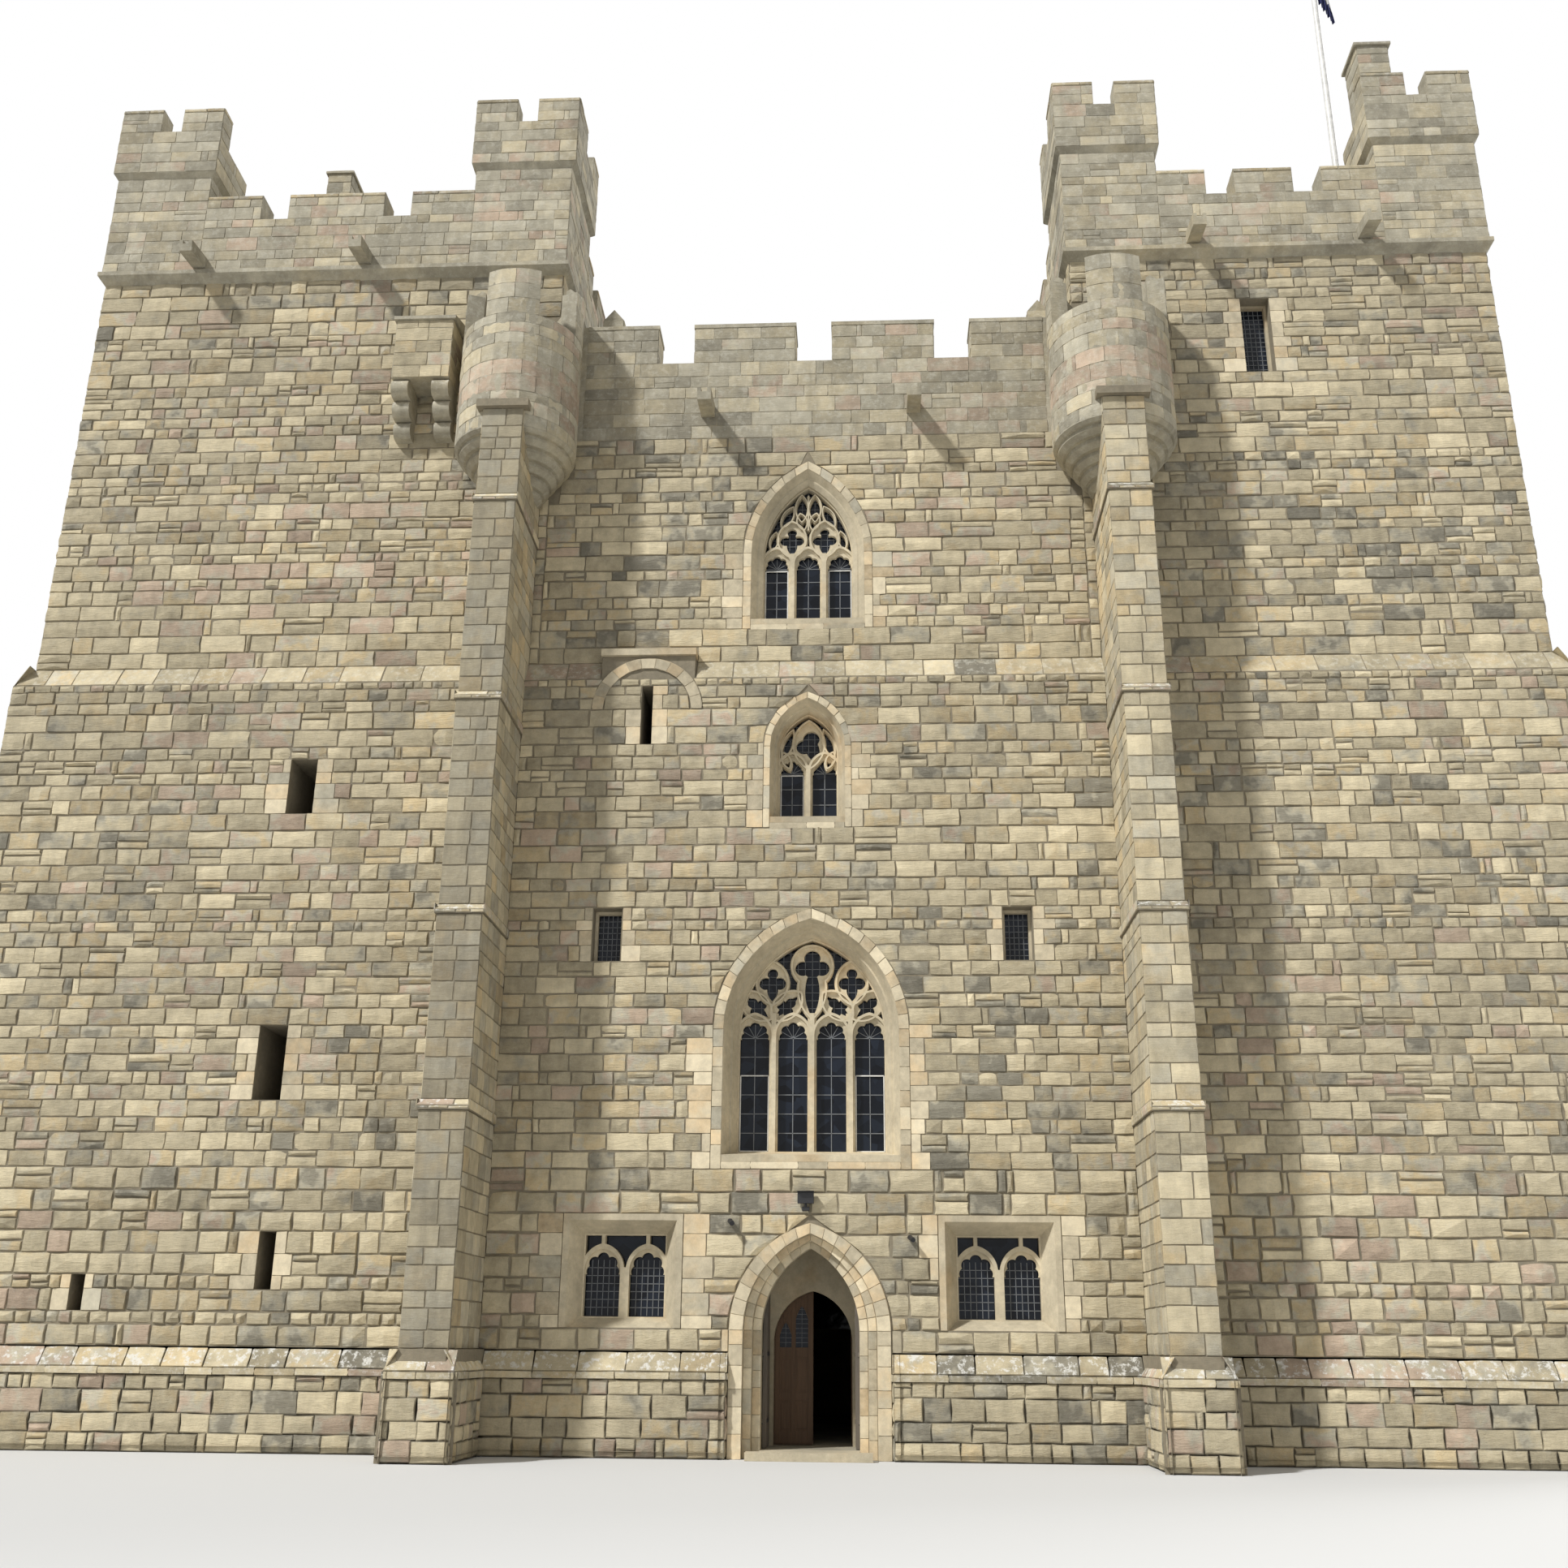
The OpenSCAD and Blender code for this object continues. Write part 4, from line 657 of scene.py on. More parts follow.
def new_material(name, **plain):
    """Material with the given constants on its Principled shader."""
    material = bpy.data.materials.new(name)
    material.use_nodes = True
    shader = material.node_tree.nodes["Principled BSDF"]
    for key, value in plain.items():
        shader.inputs[key.replace("_", " ")].default_value = value
    return material, Net(material.node_tree), shader


def use_group(net, name, **values):
    return net.add("ShaderNodeGroup", values, node_tree=bpy.data.node_groups[name]).outputs


def shade(colour, f):
    return tuple(c * f for c in colour)


def stone_material(name, hues, per_stone=True, scale=1.0, relief=0.012, streaks=0.5, lichen=0.15, pits=0.5,
                   dark=(0.15, 0.135, 0.1), pale=(0.72, 0.7, 0.6)):
    """Sandstone: a hue for each stone, grain, run-down dirt, lichen and painted shade at the joints."""
    _, net, shader = new_material(name, Roughness=0.92)
    where = net.where()
    if per_stone:
        layer = net.add("ShaderNodeAttribute", attribute_name="stone_tone").outputs
        rgb = net.add("ShaderNodeSeparateColor", {0: layer["Color"]}).outputs
        tone, pick, soil_and_painted_light = rgb[0], rgb[1], rgb[2]
        # Painted shade: each stone goes darker towards its outline, where the joints are recessed
        arris = net.spread(layer["Alpha"], 0.0, 1.0, 0.45, 1.0)
    else:
        tone = net.fractal(where, 1.2, 2.0)
        pick = net.spread(net.fractal(where, 0.7, 3.0), 0.3, 0.7)
        soil_and_painted_light = net.spread(net.fractal(where, 0.5, 4.0), 0.35, 0.75)
        arris = 1.0
    blotch = net.spread(net.fractal(where, 2.3, 3.0), 0.3, 0.7, -0.16, 0.16)
    colour = net.ramp(net.math("ADD", pick, blotch, True), hues)
    grain = use_group(net, "Sandstone Grain", Scale=scale, Pits=pits)
    speckle = net.spread(grain["Tone"], 0.2, 0.8, -0.36, 0.36)
    light = net.math("ADD", net.spread(tone, 0.0, 1.0, 0.7, 1.2), speckle)
    light = net.math("MULTIPLY", light, arris)
    grey = net.add("ShaderNodeCombineColor", {0: light, 1: light, 2: light}).outputs[0]
    colour = net.mix(1.0, colour, grey, "MULTIPLY")
    weather = use_group(net, "Weather", Streaks=streaks, Lichen=lichen)
    # Dirt and streaks darken the colour; stones with less dirt, as on most buttresses, come out lighter as
    # painted sunlight
    grime_and_painted_light = net.math("MULTIPLY", net.math("ADD", soil_and_painted_light, weather["Dark"]), 0.5, True)
    colour = net.mix(weather["Pale"], net.mix(grime_and_painted_light, colour, dark), pale)
    net.feed(shader.inputs["Base Color"], colour)
    net.bump(shader, grain["Height"], 0.9, relief)


def timber_material(name, light, deep, rough=0.7, relief=0.003):
    _, net, shader = new_material(name, Roughness=rough)
    grain = use_group(net, "Timber Grain", Across=1.0)
    net.feed(shader.inputs["Base Color"], net.ramp(grain["Tone"], [(0.3, deep), (0.7, light)]))
    net.bump(shader, grain["Height"], 0.6, relief)


def iron_material(name, colour=(0.02, 0.02, 0.022), rough=0.55):
    _, net, shader = new_material(name, Metallic=0.6)
    n = net.fractal(net.where(), 30.0, 5.0)
    net.feed(shader.inputs["Base Color"], net.ramp(n, [(0.35, colour), (0.75, shade(colour, 2.4))]))
    net.feed(shader.inputs["Roughness"], net.spread(n, 0.3, 0.7, rough - 0.1, rough + 0.2))
    net.bump(shader, n, 0.4, 0.002)


def lead_material(name):
    """Dull sheet lead with pale oxide and darker runs."""
    _, net, shader = new_material(name, Metallic=0.35)
    where = net.where()
    broad, fine = net.fractal(where, 0.8, 5.0), net.fractal(where, 12.0, 5.0)
    both = net.blend(broad, 0.6, fine, 0.4)
    stops = [(0.3, (0.13, 0.14, 0.15)), (0.5, (0.25, 0.265, 0.28)), (0.72, (0.42, 0.43, 0.43))]
    net.feed(shader.inputs["Base Color"], net.ramp(both, stops))
    net.feed(shader.inputs["Roughness"], net.spread(fine, 0.3, 0.7, 0.45, 0.72))
    net.bump(shader, both, 0.4, 0.01)


def glass_material(name):
    """Old quarries seen against a dark room: near black, glossy, a little uneven."""
    _, net, shader = new_material(name, Roughness=0.1, IOR=1.45, Specular_IOR_Level=0.22)
    where = net.where()
    cell = net.add("ShaderNodeTexVoronoi", {"Vector": where, "Scale": 4.5}).outputs["Color"]
    tint = net.add("ShaderNodeSeparateColor", {0: cell}).outputs[0]
    stops = [(0.0, (0.004, 0.005, 0.008)), (1.0, (0.014, 0.019, 0.03))]
    net.feed(shader.inputs["Base Color"], net.ramp(tint, stops))
    net.bump(shader, net.fractal(where, 3.0, 2.0), 0.25, 0.02)


def paint_material(name, colour, rough=0.4):
    _, net, shader = new_material(name, Roughness=rough)
    n = net.fractal(net.where(), 6.0, 6.0, 0.7)
    net.feed(shader.inputs["Base Color"], net.ramp(n, [(0.35, shade(colour, 0.72)), (0.6, colour)]))
    net.bump(shader, n, 0.2, 0.002)


def board_material(name, colour):
    """Wide floorboards, their joints across X."""
    _, net, shader = new_material(name, Roughness=0.75)
    boards = net.add("ShaderNodeTexBrick", {
        "Vector": net.where(), "Color1": (*shade(colour, 0.8), 1), "Color2": (*colour, 1),
        "Mortar": (0.03, 0.02, 0.015, 1), "Scale": 1.0, "Mortar Size": 0.006, "Brick Width": 3.0,
        "Row Height": 0.24})
    grain = use_group(net, "Timber Grain", Across=1.0)
    fibres = net.ramp(grain["Tone"], [(0.3, shade(colour, 0.5)), (0.7, colour)])
    net.feed(shader.inputs["Base Color"], net.mix(0.45, boards.outputs[0], fibres))
    net.bump(shader, grain["Height"], 0.4, 0.004)


def mat(name):
    return bpy.data.materials[name]


def make_materials():
    m, j = masonry(), joinery()
    buff, ochre, rose, grey, cream, honey, mortar = (
        tuple(c) for c in (m.buff, m.ochre, m.rose, m.grey, m.cream, m.honey, m.mortar))
    make_groups()
    rubble = [(0.0, shade(grey, 0.55)), (0.045, shade(grey, 0.85)), (0.16, shade(buff, 0.9)), (0.36, buff),
              (0.54, shade(buff, 1.12)), (0.68, shade(buff, 0.95)), (0.82, ochre), (0.91, shade(grey, 1.05)),
              (1.0, rose)]
    buttress = [(0.0, shade(buff, 0.9)), (0.4, buff), (0.75, grey), (1.0, ochre)]
    battlement = [(0.0, shade(grey, 0.88)), (0.3, grey), (0.6, shade(buff, 0.95)), (0.85, shade(grey, 1.08)),
                  (1.0, rose)]
    dressed = [(0.0, cream), (0.4, shade(cream, 1.05)), (0.68, shade(honey, 1.05)),
               (0.85, shade(cream, 0.93)), (1.0, shade(grey, 1.15))]
    carved = [(0.0, shade(cream, 0.95)), (0.6, cream), (1.0, honey)]
    # Paler than the dressed stone: painted light, so that the bars read bright in the shade of their reveals
    tracery = [(0.0, shade(cream, 1.12)), (0.6, shade(cream, 1.22)), (1.0, shade(honey, 1.15))]
    plain = [(0.0, shade(grey, 0.85)), (0.5, grey), (1.0, shade(buff, 0.9))]
    # The mortar is darker than the pale lime it stands for: painted shade of the recessed joints
    bedding = [(0.0, mortar), (0.6, shade(mortar, 0.85)), (1.0, shade(mortar, 1.1))]
    flags = [(0.0, shade(grey, 0.8)), (1.0, shade(cream, 0.8))]
    stone_material("Rubble Sandstone", rubble, relief=0.03, streaks=0.4, lichen=0.12)
    stone_material("Set-off Stone", rubble, relief=0.02, streaks=0.55, lichen=0.3)
    stone_material("Plinth Slope Stone", rubble, relief=0.02, streaks=0.45, lichen=0.75,
                   pale=(0.74, 0.73, 0.68))
    stone_material("Buttress Stone", buttress, relief=0.015, streaks=0.6, lichen=0.15)
    stone_material("Battlement Stone", battlement, relief=0.015, streaks=0.6, lichen=0.45, pits=0.4)
    stone_material("Dressed Stone", dressed, scale=1.6, relief=0.003, streaks=0.2, lichen=0.05, pits=0.15)
    # The CAD nodes have no tone for each stone
    stone_material("Carved Stone", carved, False, 1.6, 0.003, 0.25, 0.05, 0.15)
    stone_material("Lit Tracery Stone", tracery, False, 2.0, 0.002, 0.15, 0.04, 0.1)
    stone_material("Plain Battlement Stone", plain, False, relief=0.015, streaks=0.7, lichen=0.5)
    stone_material("Bedding Mortar And Joint Shade", bedding, False, 2.5, 0.008, 0.4, 0.05)
    stone_material("Flagstone", flags, False, relief=0.006, streaks=0.2, lichen=0.0)
    timber_material("Brown Oak", tuple(j.oak), shade(j.oak, 0.45))
    timber_material("Weathered Oak", tuple(j.weathered), shade(j.weathered, 0.5), 0.85, 0.005)
    board_material("Floorboards", (0.3, 0.2, 0.12))
    iron_material("Black Iron")
    lead_material("Sheet Lead")
    paint_material("Window Lead", (0.2, 0.21, 0.22), 0.6)
    paint_material("Lamp Black", (0.016, 0.016, 0.018), 0.45)
    paint_material("White Paint", (0.82, 0.81, 0.77))
    glass_material("Quarry Glass")


CAD_FINISH = {
    "Bedding Mortar And Joint Shade": """tower_front_left tower_front_right tower_rear_left tower_rear_right
        front_wall_left front_wall_right front_wall_over_door rear_wall side_walls
        plinth_front plinth_rear plinth_sides buttresses""",
    "Plain Battlement Stone": "hall_parapets tower_parapets turrets bartizans spouts roof_stacks garderobe",
    "Lit Tracery Stone": "great_windows middle_windows top_windows ground_windows",
    "Carved Stone": "small_windows window_surrounds door_surround inner_door_frame door_steps",
    "Flagstone": "ground_floor",
    "Floorboards": "first_floor second_floor third_floor",
    "Sheet Lead": "hall_roof tower_roofs",
    "Quarry Glass": "ground_glass first_glass second_glass third_glass",
    "White Paint": "flagpole",
    "Black Iron": "hinge_hooks",
    "Weathered Oak": "outer_leaf_left outer_leaf_right",
    "Brown Oak": "inner_leaf_left inner_leaf_right",
}


def finish_cad():
    for name, nodes in CAD_FINISH.items():
        for node in nodes.split():
            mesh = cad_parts[node].data
            mesh.materials.clear()
            mesh.materials.append(mat(name))
    for node in ("plinth_front", "plinth_rear", "plinth_sides"):
        shrink_to_mortar(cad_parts[node])


def shrink_to_mortar(plinth):
    """Sinks the outer faces of a plinth, so that its stones stay within its own outline."""
    outer = []
    for v in plinth.data.vertices:
        to_wall = v.normal.y * v.co.y < -0.5 and abs(abs(v.co.y) + Y_LOW) < 0.01
        to_side = v.normal.x * v.co.x < -0.5 and abs(v.co.x) > X_RIGHT - RECESS
        if not (to_wall or to_side):
            outer.append(v.index)
    plinth.vertex_groups.new(name="outer").add(outer, 1.0, "REPLACE")
    shrink = plinth.modifiers.new("mortar", "DISPLACE")
    shrink.strength, shrink.mid_level, shrink.vertex_group = -0.1, 0.0, "outer"


# Masonry pieces

class Outside:
    """Everything beside a half round; leaves free what lies outside it."""

    def __init__(self, x, z, r):
        self.x, self.z, self.r = x, z, r
        self.levels = []

    def toothed(self, z):
        return 0.0

    def span(self, z):
        half = math.sqrt(max(0.0, self.r ** 2 - (z - self.z) ** 2))
        return (self.x + half, self.x + self.r + 1.0)


def buttress_boxes():
    return [screen(x, BUTTRESS_HALF, 0, STAGES[-1]) for x in BUTTRESS_X]


def front_soil(u, v):
    """Dirt under the set-off, in the shelter of the battlements and near the ground."""
    d = 0.28 * max(0.0, 1 - abs(v - 12.75) / 0.45)
    d += 0.16 * max(0.0, 1 - abs(v - TOWER_TOP + 0.2) / 1.2)
    if HALL_L - 0.2 < u < HALL_R + 0.2 and v > 17.6:
        d += 0.12
    if v < 2.6:
        d += 0.1
    if BUTTRESS_X[0] - 2.4 < u < BUTTRESS_X[0] - 0.3 and v < 19.2:
        d += 0.5 * max(0.0, noise.noise(Vector((u * 1.3, v * 0.22, 5.5))) + 0.1)
    return d


def lay_wall_face(sign, seed):
    """Rubble of the front (sign -1) or the rear (sign 1), with its jamb blocks."""
    rubble, dressed = Stones(seed), Stones(seed + 1)
    low, high = outward(Y_LOW, sign), outward(Y_FRONT, sign)
    openings = front_openings()
    if sign > 0:
        openings = [o for o in openings if not (isinstance(o, Arch) and o.sill == 0.0)]
    slit = around(RELIEF_X, 0.1, 11.78, 12.91, 0.2)
    blocked = Arch(RELIEF_X, 1.0, RELIEF_Z, RELIEF_Z, 1.0)
    low_cuts = openings + [around(x, 0.98, 1.89, 3.65, 0.3) for x in ground_windows(sign)]
    low_cuts += slit_boxes() + buttress_boxes()
    low_cuts += [slit, screen(RELIEF_X, LABEL_HALF, SETOFF_Z, 13.7), blocked]
    left, right = X_LEFT - SETOFF - LAP, X_RIGHT + SETOFF + LAP
    for z0, z1, style in ((PLINTH_TOP, SILL_BAND, LOW_RUBBLE), (SILL_BAND, SETOFF_Z, RUBBLE)):
        rubble.lay(low, left, right, z0, z1, style, low_cuts, dressed, front_soil)
    rubble.lay(low, RELIEF_X - 0.78, RELIEF_X + 0.78, RELIEF_Z, SETOFF_Z, RUBBLE,
               [slit, Outside(RELIEF_X, RELIEF_Z, 0.8)], dressed, front_soil)
    lay_fan(dressed, outward(Y_LOW - 0.02, sign), 0.8, 1.0, 11)
    upper = openings + buttress_boxes() + [screen(x, 1.0, 17.3, 21.0) for x in BUTTRESS_X]
    upper += [screen(x, 0.75, 16.9, 17.3) for x in BUTTRESS_X]
    privy = [Box(PRIVY_X - PRIVY_WIDTH, PRIVY_X, PRIVY_FOOT, 20.85, mark=False)] if sign < 0 else []
    x, z, w, h = TOWER_WINDOW
    window = [around(x, w / 2, z, z + h, 0.25)]
    relief_top = [screen(RELIEF_X, LABEL_HALF, SETOFF_TOP - 0.1, 13.66)]
    for x0, x1, top, own in ((X_LEFT - LAP, HALL_L, TOWER_STRING, privy),
                             (HALL_R, X_RIGHT + LAP, TOWER_STRING, window),
                             (HALL_L, HALL_R, HALL_TOP, relief_top)):
        rubble.lay(high, x0, x1, SETOFF_TOP, top, RUBBLE, upper + own, dressed, front_soil)
    side = "front" if sign < 0 else "rear"
    rubble.build("rubble_" + side, "Rubble Sandstone", "wall_stone")
    dress_arches(dressed, sign)
    dressed.build("dressed_blocks_" + side, "Dressed Stone", "dressed_stone")


def lay_fan(stones, face, inner, outer, count):
    """Half ring of blocks over the blocked arch."""
    for k in range(count):
        a, b = (math.pi * (k + t) / count for t in (0, 1))
        quad = [(RELIEF_X + r * math.cos(t), RELIEF_Z + r * math.sin(t))
                for r, t in ((inner, b), (inner, a), (outer, a), (outer, b))]
        stones.add(face, quad, BLOCKS, FAN_DIRT)


def ring_of_blocks(stones, face, inner, outer, blocks, foot):
    """Jamb blocks and voussoirs between two pointed outlines."""
    jamb = course_lines(foot, inner.spring, [], 0.34, stones.rand)
    x = inner.x
    for side in (-1, 1):
        for va, vb in zip(jamb, jamb[1:]):
            u0, u1 = sorted((x + side * inner.half, x + side * outer.half))
            stones.add(face, rectangle(u0, u1, va, vb), BLOCKS, BLOCK_DIRT)
        for k in range(blocks):
            quad = []
            for f, arch in ((k, inner), (k, outer), (k + 1, outer), (k + 1, inner)):
                r = arch.half + arch.c
                t = math.acos(arch.c / r) * f / blocks
                quad.append((x + side * (r * math.cos(t) - arch.c), arch.spring + r * math.sin(t)))
            if side < 0:
                quad = [quad[1], quad[0], quad[3], quad[2]]
            stones.add(face, quad, BLOCKS, BLOCK_DIRT)


def dress_arches(stones, sign):
    """Rings of blocks round the pointed openings, and a long block under each sill."""
    low, high = outward(Y_LOW, sign), outward(Y_FRONT, sign)
    for arch, inner, outer, blocks, _ in RINGS:
        face = high if arch is TOP else low
        ring_of_blocks(stones, face, arch.grown(*inner), arch.grown(*outer), blocks, outer[1])
    sill_style = dict(BLOCKS, course=0.2, aspect=(4.0, 7.0))
    for arch, (g, _), *_ in RINGS:
        face, half = high if arch is TOP else low, arch.half + g
        stones.lay(face, arch.x - half, arch.x + half, arch.sill - 0.32, arch.sill - 0.2, sill_style)
    if sign < 0:
        for out, *growths in ORDERS:
            rings = [Arch(DOOR_X, DOORWAY.half + g, 0.0, DOORWAY.spring, 1.26 + 0.75 * g) for g in growths]
            ring_of_blocks(stones, across(Y_LOW - out, -1), *rings, 9, 0.0)


def lay_sides():
    """Rubble of the sides, of the bays between the towers and of the towers over the roofs."""
    rubble, dressed = Stones(31), Stones(32)
    windows = [around(0, 0.25, z, z + 1.1, 0.25) for z in (4.65, 10.0, 14.25)]
    for s, x in SIDES:
        hall = HALL_L if s < 0 else HALL_R
        for f in (-1, 1):
            low, high = mirrored(f, Y_LOW, TOWER_Y), mirrored(f, Y_FRONT, TOWER_Y)
            rubble.lay(along(x + s * SETOFF, s), *low, PLINTH_TOP, SETOFF_Z, RUBBLE, dirt=front_soil)
            rubble.lay(along(x, s), *high, SETOFF_TOP, TOWER_STRING, RUBBLE, dirt=front_soil)
            back = inward(TOWER_Y, f)
            for a, b, z0, z1 in ((x + s * SETOFF, x - s * RECESS + s * SETOFF, PLINTH_TOP, SETOFF_Z),
                                 (x, x - s * RECESS, SETOFF_TOP, HALL_TOP),
                                 (x, hall, ROOF_EDGE, TOWER_STRING)):
                rubble.lay(back, *sorted((a, b)), z0, z1, RUBBLE)
            rubble.lay(along(hall, -s), *high, ROOF_EDGE, TOWER_STRING, RUBBLE)
        face = x - s * RECESS
        for at, z0, z1 in ((face + s * SETOFF, PLINTH_TOP, SETOFF_Z), (face, SETOFF_TOP, HALL_TOP)):
            rubble.lay(along(at, s), TOWER_Y, -TOWER_Y, z0, z1, RUBBLE, windows, dressed)
    rubble.build("rubble_sides", "Rubble Sandstone", "wall_stone")
    dressed.build("dressed_blocks_sides", "Dressed Stone", "dressed_stone")


def slope_face(x, y, z, way, lean, up):
    """Sloping face whose foot is at z; way is the direction it faces in plan."""
    u = (0, 1, 0) if way[0] else (1, 0, 0)
    return Face((x, y, z), u, (-way[0] * lean, -way[1] * lean, up), (way[0] * up, way[1] * up, lean))


def lay_setoff():
    """Sloping slabs of the set-off."""
    slabs = Stones(41)
    rise = SETOFF_TOP - SETOFF_Z
    run = math.hypot(rise, SETOFF)
    lean, up = SETOFF / run, rise / run
    style = dict(SLABS, course=run, proud=(0.004, 0.014), aspect=(0.9, 1.8))
    free = [screen(x, BUTTRESS_HALF) for x in BUTTRESS_X] + [screen(RELIEF_X, LABEL_HALF)]
    for f in (-1, 1):
        face = slope_face(0, f * -Y_LOW, SETOFF_Z, (0, f), lean, up)
        slabs.lay(face, X_LEFT - 0.2, X_RIGHT + 0.2, 0, run, style, free, dirt=even(0.12))
    for s, x in SIDES:
        for out, y0, y1 in ((0.0, Y_LOW, TOWER_Y), (RECESS, TOWER_Y, -TOWER_Y), (0.0, -TOWER_Y, -Y_LOW)):
            face = slope_face(x - s * out + s * SETOFF, 0, SETOFF_Z, (s, 0), lean, up)
            slabs.lay(face, y0, y1, 0, run, style, dirt=even(0.12))
    slabs.build("setoff_slabs", "Set-off Stone", "wall_stone")


def lay_plinth():
    """Big stones of the plinth, the nose over them and the slabs of the slope.

    They are sunk by the depth of their own relief, so that they stay within the outline of the frame.
    """
    slabs, base = Stones(43), Stones(44)
    sunk, nose, rise, foot, door_half = 0.05, 0.11, 0.31, 0.012, 1.3
    run = math.hypot(rise, PLINTH_OUT)
    lean, up = PLINTH_OUT / run, rise / run
    foot_z = PLINTH_TOP - rise
    half = BUTTRESS_HALF + PLINTH_OUT
    style = dict(SLABS, course=run, aspect=(1.2, 2.4))
    stone = dict(LOW_RUBBLE, aspect=(1.1, 2.2), proud=(0.0, 0.014), bulge=0.016)

    def wall(x, y, way, a, b, free=(), slope=True):
        """One face of the plinth with its slope, at the plan line x, y, running from a to b."""
        flat = along(x - way[0] * sunk, way[0]) if way[0] else across(y - way[1] * sunk, way[1])
        base.lay(flat, a, b, foot, foot_z - nose, stone, free, dirt=even(0.15))
        slabs.lay(flat, a, b, foot_z - nose, foot_z, dict(NOSES, course=nose), free)
        if slope:
            tilted = slope_face(x - way[0] * 0.03, y - way[1] * 0.03, foot_z, way, lean, up)
            slabs.lay(tilted, a, b, 0, run, style, free)

    for f in (-1, 1):
        y = f * -(Y_LOW - PLINTH_OUT)
        free = [screen(DOOR_X, door_half)] if f < 0 else []
        free += [screen(x, half - 2 * sunk) for x in BUTTRESS_X]
        wall(0, y, (0, f), X_LEFT - SETOFF - PLINTH_OUT + sunk, X_RIGHT + SETOFF + PLINTH_OUT - sunk, free)
        for x in BUTTRESS_X:
            front = f * -(Y_FRONT - STAGE_D[0] - PLINTH_OUT)
            wall(0, front, (0, f), x - half + sunk, x + half - sunk)
            for s in (-1, 1):
                wall(x + s * half, 0, (s, 0), *sorted((front - f * sunk, y)))
        if f < 0:
            head = PLINTH_TOP - 0.02
            end = [(y + 0.02, foot_z), (Y_LOW, foot_z), (Y_LOW, head), (Y_LOW - 0.02, head)]
            for s in (-1, 1):
                wall(DOOR_X + s * (door_half - sunk), 0, (-s, 0), y + sunk, Y_LOW, slope=False)
                slabs.add(along(DOOR_X + s * door_half, -s), end, BLOCKS)
    for s, x in SIDES:
        for out, y0, y1 in ((0.0, Y_LOW - PLINTH_OUT + sunk, TOWER_Y), (RECESS, TOWER_Y, -TOWER_Y),
                            (0.0, -TOWER_Y, -Y_LOW + PLINTH_OUT - sunk)):
            wall(x - s * out + s * (SETOFF + PLINTH_OUT), 0, (s, 0), y0, y1)
        for f in (-1, 1):
            ends = sorted((x + s * (SETOFF + PLINTH_OUT - sunk), x - s * (RECESS - SETOFF - PLINTH_OUT)))
            wall(0, f * -(TOWER_Y + PLINTH_OUT), (0, -f), *ends)
    slabs.build("plinth_slabs", "Plinth Slope Stone", "wall_stone")
    base.build("plinth_stones", "Rubble Sandstone", "wall_stone")


def lay_buttresses():
    """Squared stones of each stage, and a nose and slabs where a stage steps back."""
    stones, slabs = Stones(51), Stones(52)
    rise, nose, out, cover = 0.17, 0.06, 0.04, 0.38
    style = dict(SLABS, course=0.31, aspect=(1.0, 1.7))
    thin = dict(SLABS, course=rise, aspect=(3.0, 6.0), proud=(0.004, 0.012))
    for f in (-1, 1):
        for i, x in enumerate(BUTTRESS_X):
            # The left one of the front is stained dark; the others take less dirt than the walls, which
            # lightens them as painted sunlight
            soil_and_painted_light = even(1.0 if i == 0 and f < 0 else -0.25)
            for k, depth in enumerate(STAGE_D):
                z0 = PLINTH_TOP if k == 0 else STAGES[k] + rise
                z1 = STAGES[k + 1]
                y = f * -(Y_FRONT - depth)
                stones.lay(across(y, f), x - cover, x + cover, z0, z1, style, dirt=soil_and_painted_light)
                wall = f * -(Y_LOW if z1 < SETOFF_Z else Y_FRONT)
                for s in (-1, 1):
                    stones.lay(along(x + s * BUTTRESS_HALF, s), *sorted((y, wall)), z0, z1, style)
                if k == len(STAGE_D) - 1:
                    continue
                edge, half = y + f * out, BUTTRESS_HALF + out
                slabs.lay(across(edge, f), x - half, x + half, z1, z1 + nose, dict(thin, course=nose))
                step, up = depth + out - STAGE_D[k + 1], rise - nose
                run = math.hypot(up, step)
                tilted = slope_face(0, edge, z1 + nose, (0, f), step / run, up / run)
                slabs.lay(tilted, x - half, x + half, 0, run, dict(thin, course=run))
                for s in (-1, 1):
                    slabs.lay(along(x + s * half, s), *sorted((edge, wall)), z1, z1 + rise, thin)
    stones.build("buttress_stones", "Buttress Stone", "wall_stone")
    slabs.build("buttress_weatherings", "Plinth Slope Stone", "wall_stone")


def clad(stones, xs, ys, zs, style, dirt=None):
    """Stones on the four upright faces of a block."""
    for way in (0, 1):
        stones.lay(across(ys[way], 2 * way - 1), *xs, *zs, style, dirt=dirt)
    for way in (0, 1):
        stones.lay(along(xs[way], 2 * way - 1), *ys, *zs, style, dirt=dirt)


def tops(stones, x0, x1, y0, y1, z):
    """Slabs on the level top of a wall."""
    face = Face((0, 0, z), (1, 0, 0), (0, 1, 0), (0, 0, 1))
    stones.lay(face, x0, x1, y0, y1, dict(SLABS, course=0.45, proud=(0.002, 0.008), aspect=(0.8, 1.6)))


def coped(stones, caps, face, a, b, z0, z1, cuts, mark):
    """Courses of a parapet's face and the edge of its coping."""
    edge = 0.09
    style = dict(SLABS, course=edge, aspect=(4.0, 9.0), proud=(0.014, 0.022))
    stones.lay(face, a, b, z0, z1 - edge, ASHLAR, cuts, dirt=DAMP, marks=[mark])
    caps.lay(face, a, b, z1 - edge, z1, style, cuts)


def gap_box(middle, width, z):
    """Crenel, open above its sill at z."""
    return screen(middle, width / 2, z)


def build_parapet(stones, caps, name, caps_name):
    stones.build(name, "Battlement Stone", "parapet_stone")
    caps.build(caps_name, "Plinth Slope Stone", "parapet_stone")


